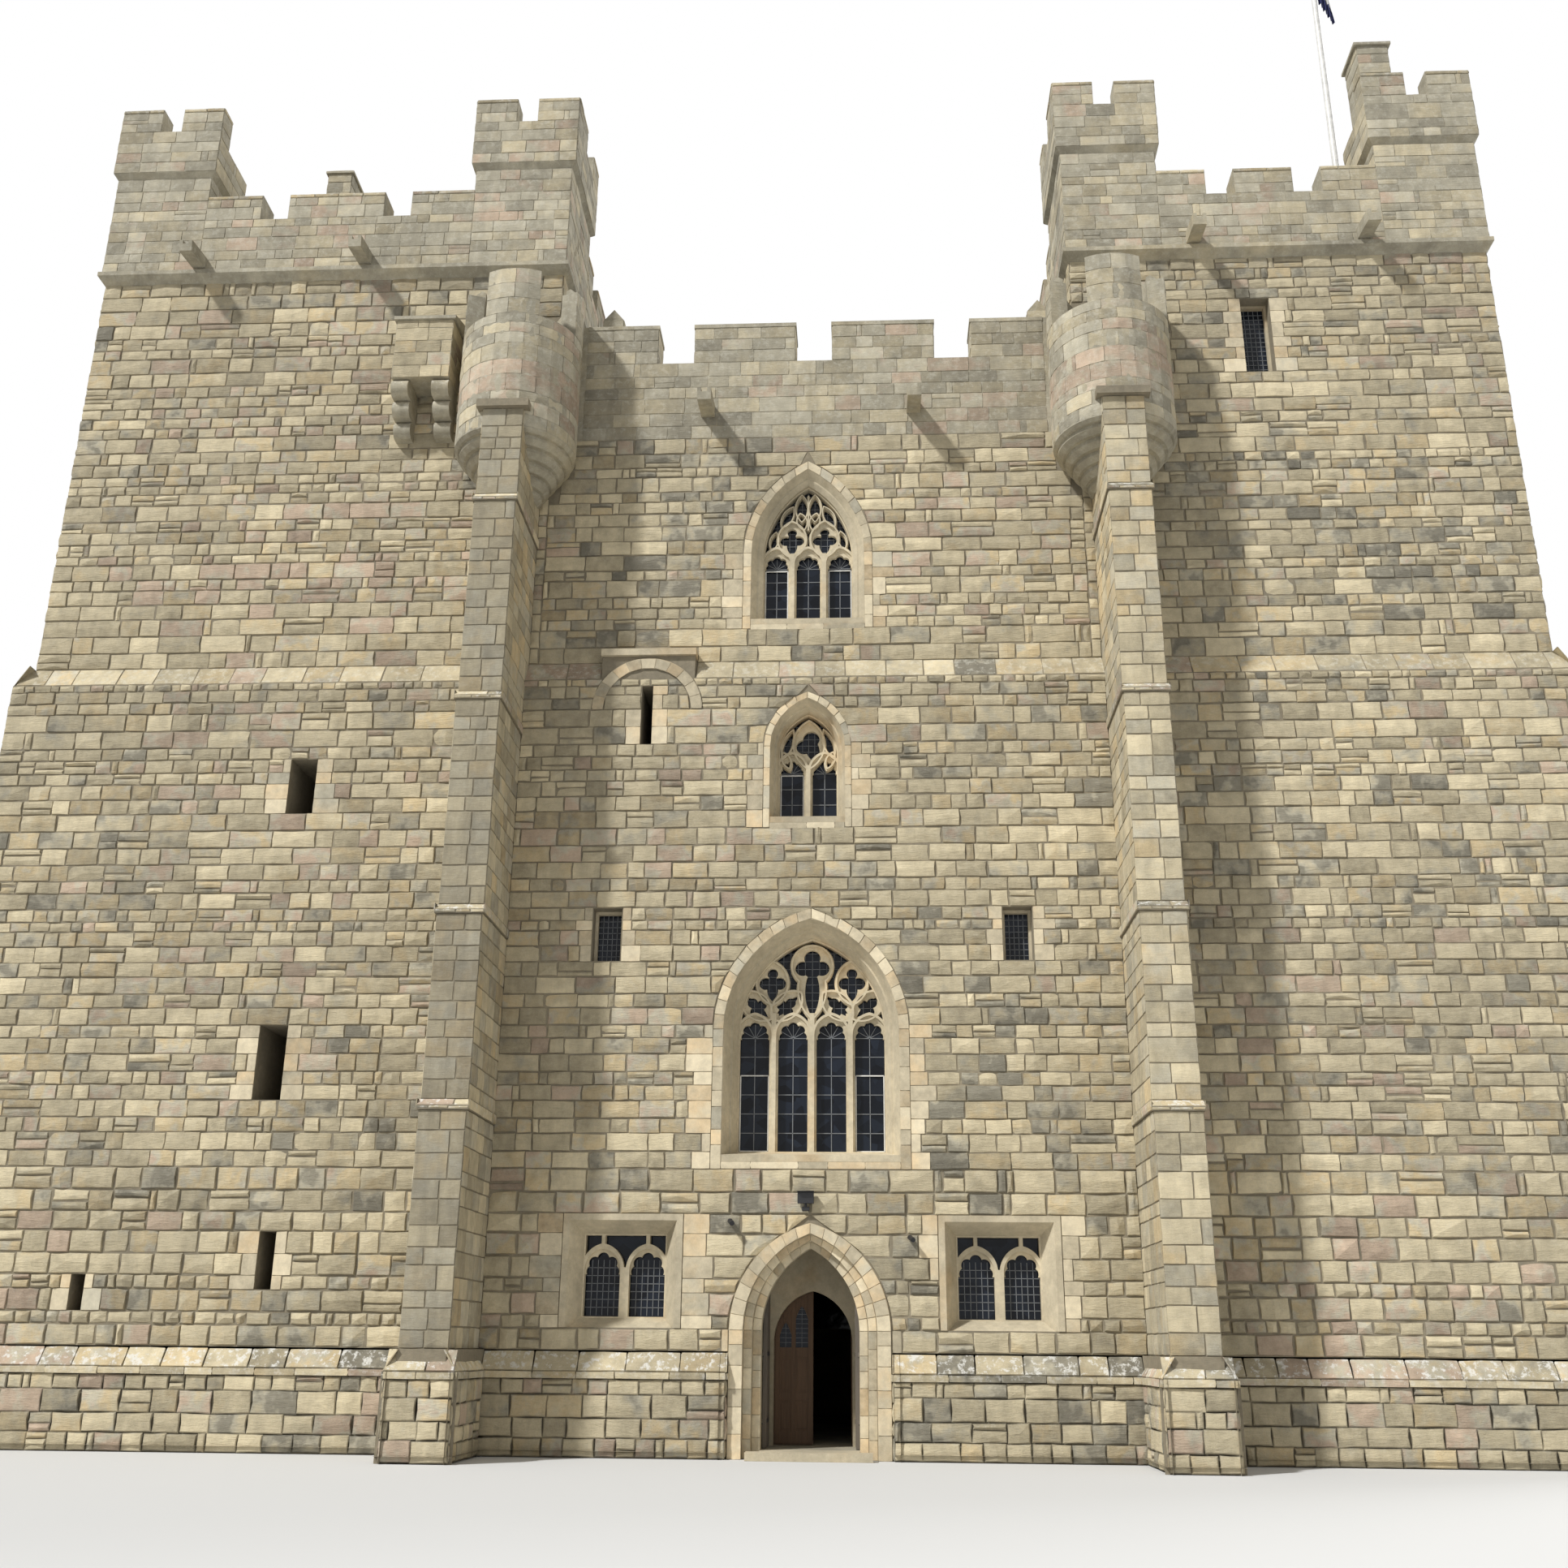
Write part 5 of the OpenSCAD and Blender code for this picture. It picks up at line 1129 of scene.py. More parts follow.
def lay_hall_parapets():
    """Smooth courses up to the crenels of the hall, then four merlons a side."""
    stones, caps = Stones(61), Stones(62)
    count, slab, side_wall = 4, 0.08, 0.6
    pitch = (HALL_R - HALL_L + CRENEL) / count
    sill, top = MERLON_TOP - 0.88, MERLON_TOP - slab
    gaps = [gap_box(HALL_L + k * pitch - CRENEL / 2, CRENEL, sill) for k in range(1, count)]
    drums = [screen(x, DRUM_R, 17, 21) for x in BUTTRESS_X]
    for f in (-1, 1):
        for face, foot, cuts, dirt in ((outward(Y_FRONT, f), HALL_TOP, gaps + drums, even(0.34)),
                                       (inward(HALL_PARAPET_BACK, f), ROOF_EDGE, gaps, DAMP)):
            stones.lay(face, HALL_L, HALL_R, foot, top, ASHLAR, cuts, dirt=dirt, marks=[sill])
        ys = mirrored(f, Y_FRONT, HALL_PARAPET_BACK)
        for k in range(count):
            a = HALL_L + k * pitch
            b = a + pitch - CRENEL
            tops(caps, a, b, *ys, MERLON_TOP)
            for way, x in ((-1, a), (1, b)):
                if HALL_L < x < HALL_R:
                    stones.lay(along(x, way), *ys, sill, top, ASHLAR)
    for s, outer in SIDES:
        x = outer - s * RECESS
        stones.lay(along(x, s), TOWER_Y, -TOWER_Y, HALL_TOP, MERLON_TOP, ASHLAR, [gap_box(0, CRENEL, sill)],
                   dirt=DAMP, marks=[sill])
        for y0, y1 in ((TOWER_Y, -CRENEL / 2), (CRENEL / 2, -TOWER_Y)):
            tops(caps, *sorted((x, x - s * side_wall)), y0, y1, MERLON_TOP)
    build_parapet(stones, caps, "hall_parapet_stones", "hall_merlon_tops")


def lay_tower_parapets():
    """Parapets between the turrets, with two crenels to the front, three to the rear and two a side."""
    stones, caps = Stones(63), Stones(64)
    gap, sill, z0, z1 = 0.57, TOWER_TOP + 1.3, TOWER_TOP + 0.05, TOWER_TOP + 1.9
    roof, flank_gaps = z0 + 0.11, (Y_FRONT + 2.7, Y_FRONT + 4.3)
    towers = ((X_LEFT, HALL_L, TURRETS[0], TURRETS[1], (0.258, 0.717)),
              (HALL_R, X_RIGHT, TURRETS[2], TURRETS[3], (0.287, 0.683)))
    for xa, xb, first, second, places in towers:
        a, b = first[0] + first[1], second[0]
        cuts = [gap_box(a + t * (b - a), gap, sill) for t in places]
        rear_cuts = [gap_box(xa + t * (xb - xa), gap, sill) for t in (0.25, 0.5, 0.75)]
        for f in (-1, 1):
            coped(stones, caps, outward(PARAPET_Y, f), a, b, z0, z1, cuts, sill)
            stones.lay(inward(PARAPET_BACK, f), a, b, roof, z1, ASHLAR, cuts, marks=[sill])
            back, x0, x1 = f * -(TOWER_Y + PARAPET_SIDE), xa - PARAPET_SIDE, xb + PARAPET_SIDE
            coped(stones, caps, across(back, -f), x0, x1, z0, z1, rear_cuts, sill)
            flank = [gap_box(f * -(y + gap / 2), gap, sill) for y in flank_gaps]
            for s, x, depth in ((-1, x0, first[2]), (1, x1, second[2])):
                u0, u1 = sorted((f * -(PARAPET_Y + depth), back))
                coped(stones, caps, along(x, s), u0, u1, z0, z1, flank, sill)
            edges = [a] + [e for c in cuts for e in (c.x0, c.x1)] + [b]
            for u0, u1 in zip(edges[::2], edges[1::2]):
                tops(caps, u0, u1, *mirrored(f, PARAPET_Y, PARAPET_BACK), z1)
    build_parapet(stones, caps, "tower_parapet_stones", "tower_merlon_tops")


def lay_turrets():
    """Shafts of the corner turrets and their overhanging tops."""
    stones, caps = Stones(65), Stones(66)
    foot, neck, head, top = (TOWER_TOP + z for z in (0.05, 2.38, 2.5, 4.13))
    sill, low_top = TOWER_TOP + 3.55, TOWER_TOP + 3.38
    o, wall, crenel = TURRET_OUT, 0.35, 0.44
    for f in (-1, 1):
        for x0, width, depth, low in TURRETS:
            xs, ys = (x0, x0 + width), mirrored(f, PARAPET_Y, PARAPET_Y + depth)
            clad(stones, xs, ys, (foot, neck), ASHLAR, DAMP)
            front = gap_box((xs[0] + xs[1]) / 2, crenel, sill)
            if low:
                rear = mirrored(f, PARAPET_Y + wall, PARAPET_Y + depth + 1)
                cut_y = [Box(*rear, low_top, SKY, mark=False)]
            else:
                cut_y = [gap_box(f * -(PARAPET_Y + 1.296), 0.792, sill)]
            x_out, y_out = (xs[0] - o, xs[1] + o), (ys[0] - o, ys[1] + o)
            for i, way in enumerate((-1, 1)):
                z1 = top if way == f or not low else low_top
                coped(stones, caps, across(y_out[i], way), *x_out, head, z1, [front], sill)
                coped(stones, caps, along(x_out[i], way), *y_out, head, top, cut_y, low_top if low else sill)
            for a, b in ((x_out[0], front.x0), (front.x1, x_out[1])):
                tops(caps, a, b, *mirrored(f, PARAPET_Y - o, PARAPET_Y + wall), top)
    build_parapet(stones, caps, "turret_stones", "turret_merlon_tops")


def lay_stacks():
    """Stones of the stacks, the pinnacles and the garderobe."""
    stones, privy = Stones(67), Stones(68)
    x = X_LEFT + 3.64
    ys, zs = (Y_FRONT + 1.77, Y_FRONT + 2.57), (TOWER_TOP + 0.17, TOWER_TOP + 4.04)
    clad(stones, (x, x + 0.53), ys, zs, ASHLAR)
    x = TURRETS[3][0] - TURRET_OUT
    for f in (-1, 1):
        front = f * -(PARAPET_Y - TURRET_OUT)
        clad(stones, (x, x + 0.63), sorted((front, front - f * 0.78)), (TOWER_TOP + 4.13, TOWER_TOP + 4.83),
             dict(ASHLAR, course=0.23))
        for px in (HALL_L + 0.94, HALL_R - 0.56):
            clad(stones, (px - 0.21, px + 0.21), mirrored(f, Y_FRONT + 0.72, Y_FRONT + 1.02),
                 (ROOF_EDGE, MERLON_TOP + 0.68), ASHLAR)
    stones.build("stack_stones", "Battlement Stone", "parapet_stone")
    x0, front, head = PRIVY_X - PRIVY_WIDTH, Y_FRONT - 0.7, PRIVY_FOOT + 1.3
    privy.lay(across(front, -1), x0, PRIVY_X, PRIVY_FOOT, head, ASHLAR)
    for way, x in ((-1, x0), (1, PRIVY_X)):
        privy.lay(along(x, way), front, Y_FRONT, PRIVY_FOOT, head, ASHLAR)
    privy.build("garderobe_stones", "Rubble Sandstone", "wall_stone")


def lay_bartizans():
    """Courses round the drums, which are free over the buttress, and the three merlons of each."""
    stones = Stones(71)
    r, per_course, style = DRUM_R, 9, dict(ASHLAR, jitter=0.001)
    lines = course_lines(17.48, 19.9, [], 0.27, stones.rand)
    side = math.pi - math.acos(DRUM_BACK / r)
    half = side * r
    crenel, flank = math.radians(26.6) * r, math.radians(71.6) * r
    merlons = (19.9, 20.24, 20.57, 20.9)
    for f in (-1, 1):
        for x in BUTTRESS_X:
            face = Face((x, f * -(Y_FRONT - DRUM_BACK), 0), (1, 0, 0), (0, 0, 1), (0, f, 0), radius=r)
            for k, (va, vb) in enumerate(zip(lines, lines[1:])):
                turn = 0.5 * (k % 2)
                inner = [2 * half * (j + turn) / per_course for j in range(1 - int(turn > 0), per_course)]
                marks = [-half] + [-half + at for at in inner if 0.12 < at < 2 * half - 0.12] + [half]
                hue = 0.97 if f < 0 and k in (3, 4) and stones.rand.random() < 0.8 else None
                for a, b in zip(marks, marks[1:]):
                    if vb >= 17.97 or abs((a + b) / 2) >= 0.5:
                        stones.add(face, rectangle(a, b, va, vb), style, 0.2, hue)
            for a0, a1 in ((-crenel, crenel), (-half, -flank), (flank, half)):
                for va, vb in zip(merlons, merlons[1:]):
                    m = (a0 + a1) / 2 + stones.rand.uniform(-0.1, 0.1)
                    for a, b in ((a0, m), (m, a1)):
                        stones.add(face, rectangle(a, b, va, vb), style, 0.25)
    stones.build("bartizan_stones", "Battlement Stone", "parapet_stone")


# Roofs, glazing, doors and flag

def cover_roofs():
    """Lead rolls on the roofs."""
    rolls = Solids()
    count, radius, ridge = 15, 0.028, ROOF_EDGE + 0.5
    for k in range(count):
        x = HALL_L + 0.35 + k * (HALL_R - HALL_L - 0.7) / (count - 1)
        for f in (-1, 1):
            rolls.roll((x, f * 6.5, ROOF_EDGE), (x, 0, ridge), radius)
    rolls.roll((HALL_L + 0.1, 0, HALL_TOP + 1.07), (HALL_R - 0.1, 0, HALL_TOP + 1.07), 0.045)
    bays, z = 9, TOWER_TOP + 0.165
    for f in (-1, 1):
        ya, yb = mirrored(f, Y_FRONT + 2.1, TOWER_Y - 0.5)
        for xa, xb in ((X_LEFT, HALL_L), (HALL_R, X_RIGHT)):
            for k in range(1, bays):
                x = xa + 0.5 + k * (xb - xa - 1.0) / bays
                rolls.roll((x, ya, z), (x, yb, z), radius)
    rolls.build("lead_rolls", "Sheet Lead", "roof_lead")


def glaze():
    """Lead cames in front of the glass, with painted casements in some lights."""
    lead, paint = Solids(), Solids()
    w = joinery().lead_width

    def depth(f, behind, thick=0.01):
        """Front and back of a came just before the glass, which lies so far behind the wall's face."""
        return mirrored(f, Y_FRONT + behind, Y_FRONT + behind - thick)

    def light(x, half, sill, spring, rows, ys):
        """Middle came and rows of a light, and the fan in its head."""
        lead.bar((x, sill), (x, spring), w, *ys)
        for k in range(1, rows + 1):
            z = sill + (spring - sill) * k / rows
            lead.bar((x - half, z), (x + half, z), w, *ys)
        for a in (30, 60, 90, 120, 150):
            t = math.radians(a)
            tip = (x + half * 0.95 * math.cos(t), spring + half * 0.95 * math.sin(t))
            lead.bar((x, spring), tip, w * 0.8, *ys)

    def casement(x, half, z0, z1, ys):
        for a, b in (((x - half, z0), (x - half, z1)), ((x + half, z0), (x + half, z1)),
                     ((x - half, z0), (x + half, z0)), ((x - half, z1), (x + half, z1))):
            paint.bar(a, b, 0.018, *ys)

    def grid(arch, foot, step, ys):
        """Leads of the tracery, behind its bars."""
        n = int(arch.half / step)
        for k in range(-n, n + 1):
            u = k * step
            if arch.top(u) - 0.02 > foot:
                lead.bar((arch.x + u, foot), (arch.x + u, arch.top(u) - 0.02), w * 0.6, *ys)
        z = foot
        while z < arch.spring + arch.rise - 0.1:
            lead.bar((arch.x - arch.reach(z) + 0.02, z), (arch.x + arch.reach(z) - 0.02, z), w * 0.6, *ys)
            z += step * 1.1

    # Each pointed window: depth of its glass, pitch and places of its lights and of its casements;
    # half width, sill, spring and rows of a light, half width and head of a casement, foot and step
    # of the leads in the tracery
    pointed = (
        (GREAT, 0.459, 0.6525, (-1.5, -0.5, 0.5, 1.5), (-1.5, 1.5),
         (0.251, 4.7, 6.62, 6), (0.236, 5.98), (7.0, 0.125)),
        (TOP, 0.409, 0.5967, (-1, 0, 1), (-1, 1), (0.223, 14.45, 15.55, 4), (0.208, 15.5), (15.9, 0.12)),
        (MIDDLE, 0.359, 0.2925, (-1, 1), (-1,), (0.217, 10.51, 11.4, 3), (0.2, 11.36), (11.7, 0.11)),
    )
    for f in (-1, 1):
        for arch, behind, pitch, places, opened, panes, casements, tracery in pointed:
            (half, sill, spring, rows), (inner, head) = panes, casements
            ys, frame_ys = depth(f, behind), depth(f, behind - 0.012, 0.02)
            for k in places:
                light(arch.x + k * pitch, half, sill, spring, rows, ys)
                if k in opened:
                    casement(arch.x + k * pitch, inner, sill + 0.02, head, frame_ys)
            grid(arch, *tracery, ys)
        for x in ground_windows(f):
            for k in (-1, 1):
                lattice(lead, x + k * 0.365, 0.28, 2.09, 2.95, depth(f, 0.259), 0.115)
        for x in SMALL_WINDOWS:
            lattice(lead, x, 0.2, 7.87, 8.7, depth(f, 0.099), 0.1)
        x, z, width, h = TOWER_WINDOW
        lattice(lead, x, width / 2 - 0.05, z + 0.05, z + h - 0.05, depth(f, 0.349), 0.1)
    lead.build("window_leads", "Window Lead", "roof_lead")
    paint.build("casement_frames", "White Paint", "pole_paint")


def lattice(lead, x, half, z0, z1, ys, step):
    """Small upright panes."""
    width = 0.01
    rows = int((z1 - z0) / step)
    for k in range(1, rows):
        z = z0 + k * (z1 - z0) / rows
        lead.bar((x - half, z), (x + half, z), width, *ys)
    cols = max(3, round(2 * half / (step * 0.85)))
    for k in range(1, cols):
        u = x - half + 2 * half * k / cols
        lead.bar((u, z0), (u, z1), width, *ys)


def hang_doors():
    """Boards and bands on the outer leaves; framing, panels and leaded lights on the inner ones."""
    for name, way in (("outer_leaf_left", 1), ("outer_leaf_right", -1)):
        board_leaf(name, way)
    for name, opened in (("inner_leaf_left", False), ("inner_leaf_right", True)):
        panel_leaf(name, opened)


def board_leaf(name, way):
    """Upright boards and two strap bands on the face of an outer leaf that looks along way in X."""
    lo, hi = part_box(name)
    face = hi.x if way > 0 else lo.x
    boards, iron = Solids(), Solids()
    arch = Arch(hi.y, hi.y - lo.y, 0.0, DOORWAY.spring, hi.z - DOORWAY.spring)
    count, start, gap = 6, lo.y + 0.07, 0.003
    step = (hi.y - 0.01 - start) / count

    def put(solids, y0, y1, z0, z1, proud):
        solids.box(*sorted((face - way * 0.01, face + way * proud)), y0, y1, z0, z1)

    for k in range(count):
        y = start + k * step
        put(boards, y + gap, y + step - gap, 0.16, arch.top(hi.y - y) - 0.06, 0.006)
    for z in (0.53, 1.53):
        put(iron, start + 0.01, hi.y - 0.08, z - 0.03, z + 0.03, 0.01)
    boards.build(name + "_boards", "Weathered Oak", "door_oak", name, bevel=0.002)
    iron.build(name + "_bands", "Black Iron", "hinge_iron", name)


def panel_leaf(name, opened):
    """Framing, raised panels and two leaded lights on the outer face of an inner leaf."""
    lo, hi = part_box(name)
    wood, glass, lead = Solids(), Solids(), Solids()
    face, start, end = (lo.x, lo.y, hi.y) if opened else (lo.y, lo.x, hi.x)
    # The relief keeps within the opening that the leaf closes
    arch = Arch(end, 0.65, 0.0, 1.72, 0.8)
    stile, margin, half_mid, half_lead = 0.075, 0.075, 0.035, 0.003
    foot, lock, frieze = (0.15, 0.33), (0.8, 0.93), (1.48, 1.63)

    def prism(solids, quad, proud):
        """Flat piece on the leaf; its corners, given along the leaf and up, run anticlockwise."""
        back, front = face + 0.008, face - proud
        if opened:
            low, high = ([(d, u, z) for u, z in quad] for d in (front, back))
            solids.hexa(high + low)
        else:
            low, high = ([(u, d, z) for u, z in quad] for d in (front, back))
            solids.hexa(low[::-1] + high[::-1])

    def put(solids, u0, u1, z0, z1, proud):
        prism(solids, rectangle(u0, u1, z0, z1), proud)

    def rib(solids, points, width, proud):
        """Strip of a given width on the left of a line of points."""
        for (ua, za), (ub, zb) in zip(points, points[1:]):
            length = math.hypot(ub - ua, zb - za)
            du, dz = -(zb - za) / length * width, (ub - ua) / length * width
            prism(solids, [(ua, za), (ub, zb), (ub + du, zb + dz), (ua + du, za + dz)], proud)

    def light(u0, u1, head):
        """Leaded light with a pointed head over the frieze rail."""
        sill, point, n = frieze[1], 0.2, 8
        centre, half = (u0 + u1) / 2, (u1 - u0) / 2
        edge = [(u1 - 2 * half * k / n, head - point * abs(1 - 2 * k / n) ** 1.5) for k in range(n + 1)]
        for (ua, za), (ub, zb) in zip(edge, edge[1:]):
            prism(glass, [(ub, sill), (ua, sill), (ua, za), (ub, zb)], 0.003)
        rib(wood, edge, -0.022, 0.01)
        for k in range(1, 9):
            z = sill + k * 0.075
            reach = half * min(1.0, max(0.0, (head - z) / point) ** (2 / 3))
            if reach > 0.03:
                put(lead, centre - reach, centre + reach, z - half_lead, z + half_lead, 0.005)
        put(lead, centre - half_lead, centre + half_lead, sill, head, 0.006)

    hinge, mid, meet = start + margin, start + 0.38, end - 0.012
    bays = ((hinge + stile, mid - half_mid), (mid + half_mid, meet - stile))
    for u0, u1 in ((hinge, hinge + stile), (mid - half_mid, mid + half_mid), (meet - stile, meet)):
        put(wood, u0, u1, foot[0], arch.top(end - u0) - 0.02, 0.013)
    for rail in (foot, lock, frieze):
        for bay in bays:
            put(wood, *bay, *rail, 0.012)
    inset = arch.grown(-margin, 0.0)
    radius, rim = inset.half + inset.c, []
    for k in range(11):
        t = math.acos(inset.c / radius) * k / 10
        rim.append((end - radius * math.cos(t) + inset.c, inset.spring + radius * math.sin(t)))
    rib(wood, rim, 0.065, 0.0145)
    for (u0, u1), head in zip(bays, (2.02, 2.28)):
        for z0, z1 in ((foot[1], lock[0]), (lock[1], frieze[0])):
            put(wood, u0 + 0.03, u1 - 0.03, z0 + 0.04, z1 - 0.04, 0.008)
        light(u0, u1, head)
    wood.build(name + "_framing", "Brown Oak", "door_oak", name, bevel=0.003)
    glass.build(name + "_lights", "Quarry Glass", "window_glass", name)
    lead.build(name + "_leads", "Window Lead", "roof_lead", name)


def fix_lamps():
    """Floodlight over the doorway and the two small fittings beside it."""
    black = Solids()
    y = Y_LOW - 0.02
    x, z = DOOR_X - 0.07, 3.9
    black.box(x - 0.13, x + 0.13, y - 0.13, y - 0.05, z - 0.09, z + 0.09)
    black.box(x - 0.14, x + 0.14, y - 0.2, y - 0.05, z + 0.09, z + 0.1)
    black.box(x - 0.02, x + 0.02, y - 0.06, Y_LOW, z - 0.16, z - 0.02)
    black.box(x - 0.06, x + 0.06, y - 0.08, Y_LOW, z - 0.2, z - 0.14)
    for u, v in ((-1.27, 3.52), (1.61, 3.28)):
        x = DOOR_X + u
        black.roll((x, Y_LOW, v + 0.05), (x, y - 0.07, v + 0.03), 0.015)
        black.roll((x - 0.02, y - 0.03, v + 0.02), (x + 0.03, y - 0.19, v - 0.03), 0.04, 16)
    black.build("lamp_and_fittings", "Lamp Black", "hinge_iron", bevel=0.004)


def hang_flag():
    """Limp flag in three bands: its folds take up the fly, and it drops away from the pole."""
    lo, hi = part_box("flag")
    across_fly, down_hoist = 90, 40
    folds, depth, drop = 26.0, 0.055, 0.5
    points = []
    for i in range(across_fly + 1):
        a = FLAG_FLY * i / across_fly
        for j in range(down_hoist + 1):
            b = FLAG_HOIST * j / down_hoist
            phase = folds * a + 1.1 * b
            x = lo.x + 0.15 * a * (0.8 + 0.3 * b) + 0.012 * (math.cos(phase * 0.5) + 1)
            y = (lo.y + hi.y) / 2 + depth * min(1.0, a / 0.25) * math.sin(phase)
            points.append((x, y, hi.z - b - drop * a * (1 - 0.15 * b)))
    row = down_hoist + 1
    corners = [i * row + j for i in range(across_fly) for j in range(down_hoist)]
    loops = [a + step for a in corners for step in (0, 1, row + 1, row)]
    obj = mesh_object("flag_cloth", points, loops, [4] * len(corners), cloth_material())
    k = np.arange(len(points))
    place = np.zeros((len(points), 4), np.float32)
    place[:, 0], place[:, 1], place[:, 3] = (k // row) / across_fly, (k % row) / down_hoist, 1.0
    paint_points(obj, "cloth_place", place)
    obj.data.shade_smooth()
    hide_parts("flag")


def cloth_material():
    """Three woven bands down the hoist."""
    material, net, shader = new_material("Flag Cloth", Roughness=0.85)
    place = net.add("ShaderNodeAttribute", attribute_name="cloth_place").outputs["Color"]
    hoist = net.add("ShaderNodeSeparateColor", {0: place}).outputs[1]
    stops = [(0.0, (0.42, 0.02, 0.03)), (0.33, (0.7, 0.69, 0.66)), (0.66, (0.015, 0.02, 0.09))]
    bands = net.ramp(hoist, stops, "CONSTANT")
    weave = net.add("ShaderNodeTexWave", {"Vector": place, "Scale": 120.0}).outputs[1]
    threads = net.mix(weave, (0.7, 0.7, 0.7), (1, 1, 1))
    net.feed(shader.inputs["Base Color"], net.mix(0.25, bands, threads, "MULTIPLY"))
    net.bump(shader, weave, 0.2, 0.001)
    return material


# Stage

def set_stage():
    lay_floor()
    light_world()
    hang_lamps()
    aim_camera()
    bpy.context.scene.view_settings.view_transform = "Standard"


def lay_floor():
    """Wide pale floor that fades out far behind the keep."""
    bpy.ops.mesh.primitive_plane_add(size=500, location=(0, 0, -0.002))
    floor = bpy.context.object
    floor.name = "studio_floor"
    material, net, shader = new_material("Studio Floor", Roughness=0.9)
    shader.inputs["Base Color"].default_value = (*studio().floor, 1)
    place = net.add("ShaderNodeNewGeometry").outputs["Position"]
    distance = net.add("ShaderNodeVectorMath", {0: place}, operation="LENGTH").outputs["Value"]
    clear = net.add("ShaderNodeBsdfTransparent").outputs[0]
    fade = net.add("ShaderNodeMixShader", {0: net.spread(distance, 40, 110), 1: shader.outputs[0], 2: clear})
    net.feed(net.tree.nodes["Material Output"].inputs["Surface"], fade.outputs[0])
    floor.data.materials.append(material)


def light_world():
    """White where the camera, glass or gloss sees it, and a softer fill elsewhere."""
    world = bpy.data.worlds.new("Studio")
    bpy.context.scene.world = world
    world.use_nodes = True
    net = Net(world.node_tree)
    back = world.node_tree.nodes["Background"]
    path = net.add("ShaderNodeLightPath").outputs
    bounced = net.math("MAXIMUM", path["Is Glossy Ray"], path["Is Transmission Ray"])
    seen = net.math("MAXIMUM", path["Is Camera Ray"], bounced)
    soft = net.add("ShaderNodeMix", {0: seen, 2: studio().fill, 3: 1.0})
    net.feed(back.inputs["Strength"], soft.outputs[0])
    back.inputs["Color"].default_value = (1, 1, 1, 1)


def hang_lamps():
    s = studio()
    for name, way, power, angle in (("key", (1.07, 1.0, -1.47), s.key, 4),
                                    ("rim", (-1.0, -0.9, -0.9), s.rim, 25)):
        lamp = bpy.data.lights.new(name + "_lamp", "SUN")
        lamp.energy, lamp.angle = power, math.radians(angle)
        obj = bpy.data.objects.new(name + "_lamp", lamp)
        obj.rotation_euler = Vector(way).to_track_quat("-Z", "Y").to_euler()
        bpy.context.scene.collection.objects.link(obj)


def aim_camera():
    """Camera at the photograph's place: a standing eye in front of the door, looking up."""
    data = bpy.data.cameras.new("photo_camera")
    data.lens, data.sensor_width, data.sensor_fit = 36.487, 36.0, "HORIZONTAL"
    data.clip_end = 800
    place = (1.622, -34.458, 1.64)
    yaw, pitch, roll = (math.radians(a) for a in (3.115, 19.494, 0.558))
    look = Vector((-math.sin(yaw) * math.cos(pitch), math.cos(yaw) * math.cos(pitch), math.sin(pitch)))
    right = look.cross(Vector((0, 0, 1))).normalized()
    turned = right * math.cos(roll) + right.cross(look) * math.sin(roll)
    axes = Matrix((turned, turned.cross(look), -look)).transposed()
    camera = bpy.data.objects.new("photo_camera", data)
    camera.matrix_world = Matrix.Translation(place) @ axes.to_4x4()
    bpy.context.scene.collection.objects.link(camera)
    bpy.context.scene.camera = camera


# Add-on

def colour_property(name, description, default):
    return bpy.props.FloatVectorProperty(name=name, description=description, default=default,
                                         subtype="COLOR", min=0, max=1)


def length_property(name, description, default, least, most):
    return bpy.props.FloatProperty(name=name, description=description, default=default, min=least, max=most,
                                   unit="LENGTH")


def strength_property(name, description, default):
    return bpy.props.FloatProperty(name=name, description=description, default=default, min=0)


class KeepMasonry(bpy.types.PropertyGroup):
    """Sizes and colours of the stones"""

    course: length_property("Course", "Height of a course of the walls", 0.27, 0.15, 0.5)
    joint: length_property("Joint", "Width of the joints of the walls", 0.006, 0.002, 0.03)
    buff: colour_property("Buff", "Most of the sandstone", (0.575, 0.495, 0.33))
    ochre: colour_property("Ochre", "Stones with more iron", (0.565, 0.45, 0.265))
    rose: colour_property("Rose", "The few pink stones", (0.5, 0.385, 0.28))
    grey: colour_property("Grey", "Weathered stones", (0.47, 0.43, 0.325))
    cream: colour_property("Cream", "Dressed stone", (0.64, 0.555, 0.39))
    honey: colour_property("Honey", "Orange tint of the dressed stone", (0.63, 0.49, 0.3))
    # Default darker than the pale lime itself: it carries painted shade of the recessed joints
    mortar: colour_property("Mortar", "Lime mortar in the joints", (0.3, 0.255, 0.175))


class KeepJoinery(bpy.types.PropertyGroup):
    """Leads of the windows and colours of the doors"""

    lead_width: length_property("Lead width", "Width of the cames of the windows", 0.013, 0.004, 0.04)
    oak: colour_property("Oak", "Inner doors", (0.17, 0.1, 0.055))
    weathered: colour_property("Weathered oak", "Outer doors", (0.2, 0.17, 0.135))


class KeepStudio(bpy.types.PropertyGroup):
    """Floor and light"""

    floor: colour_property("Floor", "Colour of the floor", (0.62, 0.62, 0.61))
    key: strength_property("Key", "Strength of the main lamp", 3.5)
    rim: strength_property("Rim", "Strength of the lamp behind", 1.2)
    fill: strength_property("Fill", "Strength of the light all round", 0.42)


class KEEP_OT_finishes(bpy.types.Operator):
    """Makes every material and gives the CAD nodes theirs"""

    bl_idname = "keep.finishes"
    bl_label = "Finishes"

    def execute(self, context):
        make_materials()
        finish_cad()
        return {"FINISHED"}


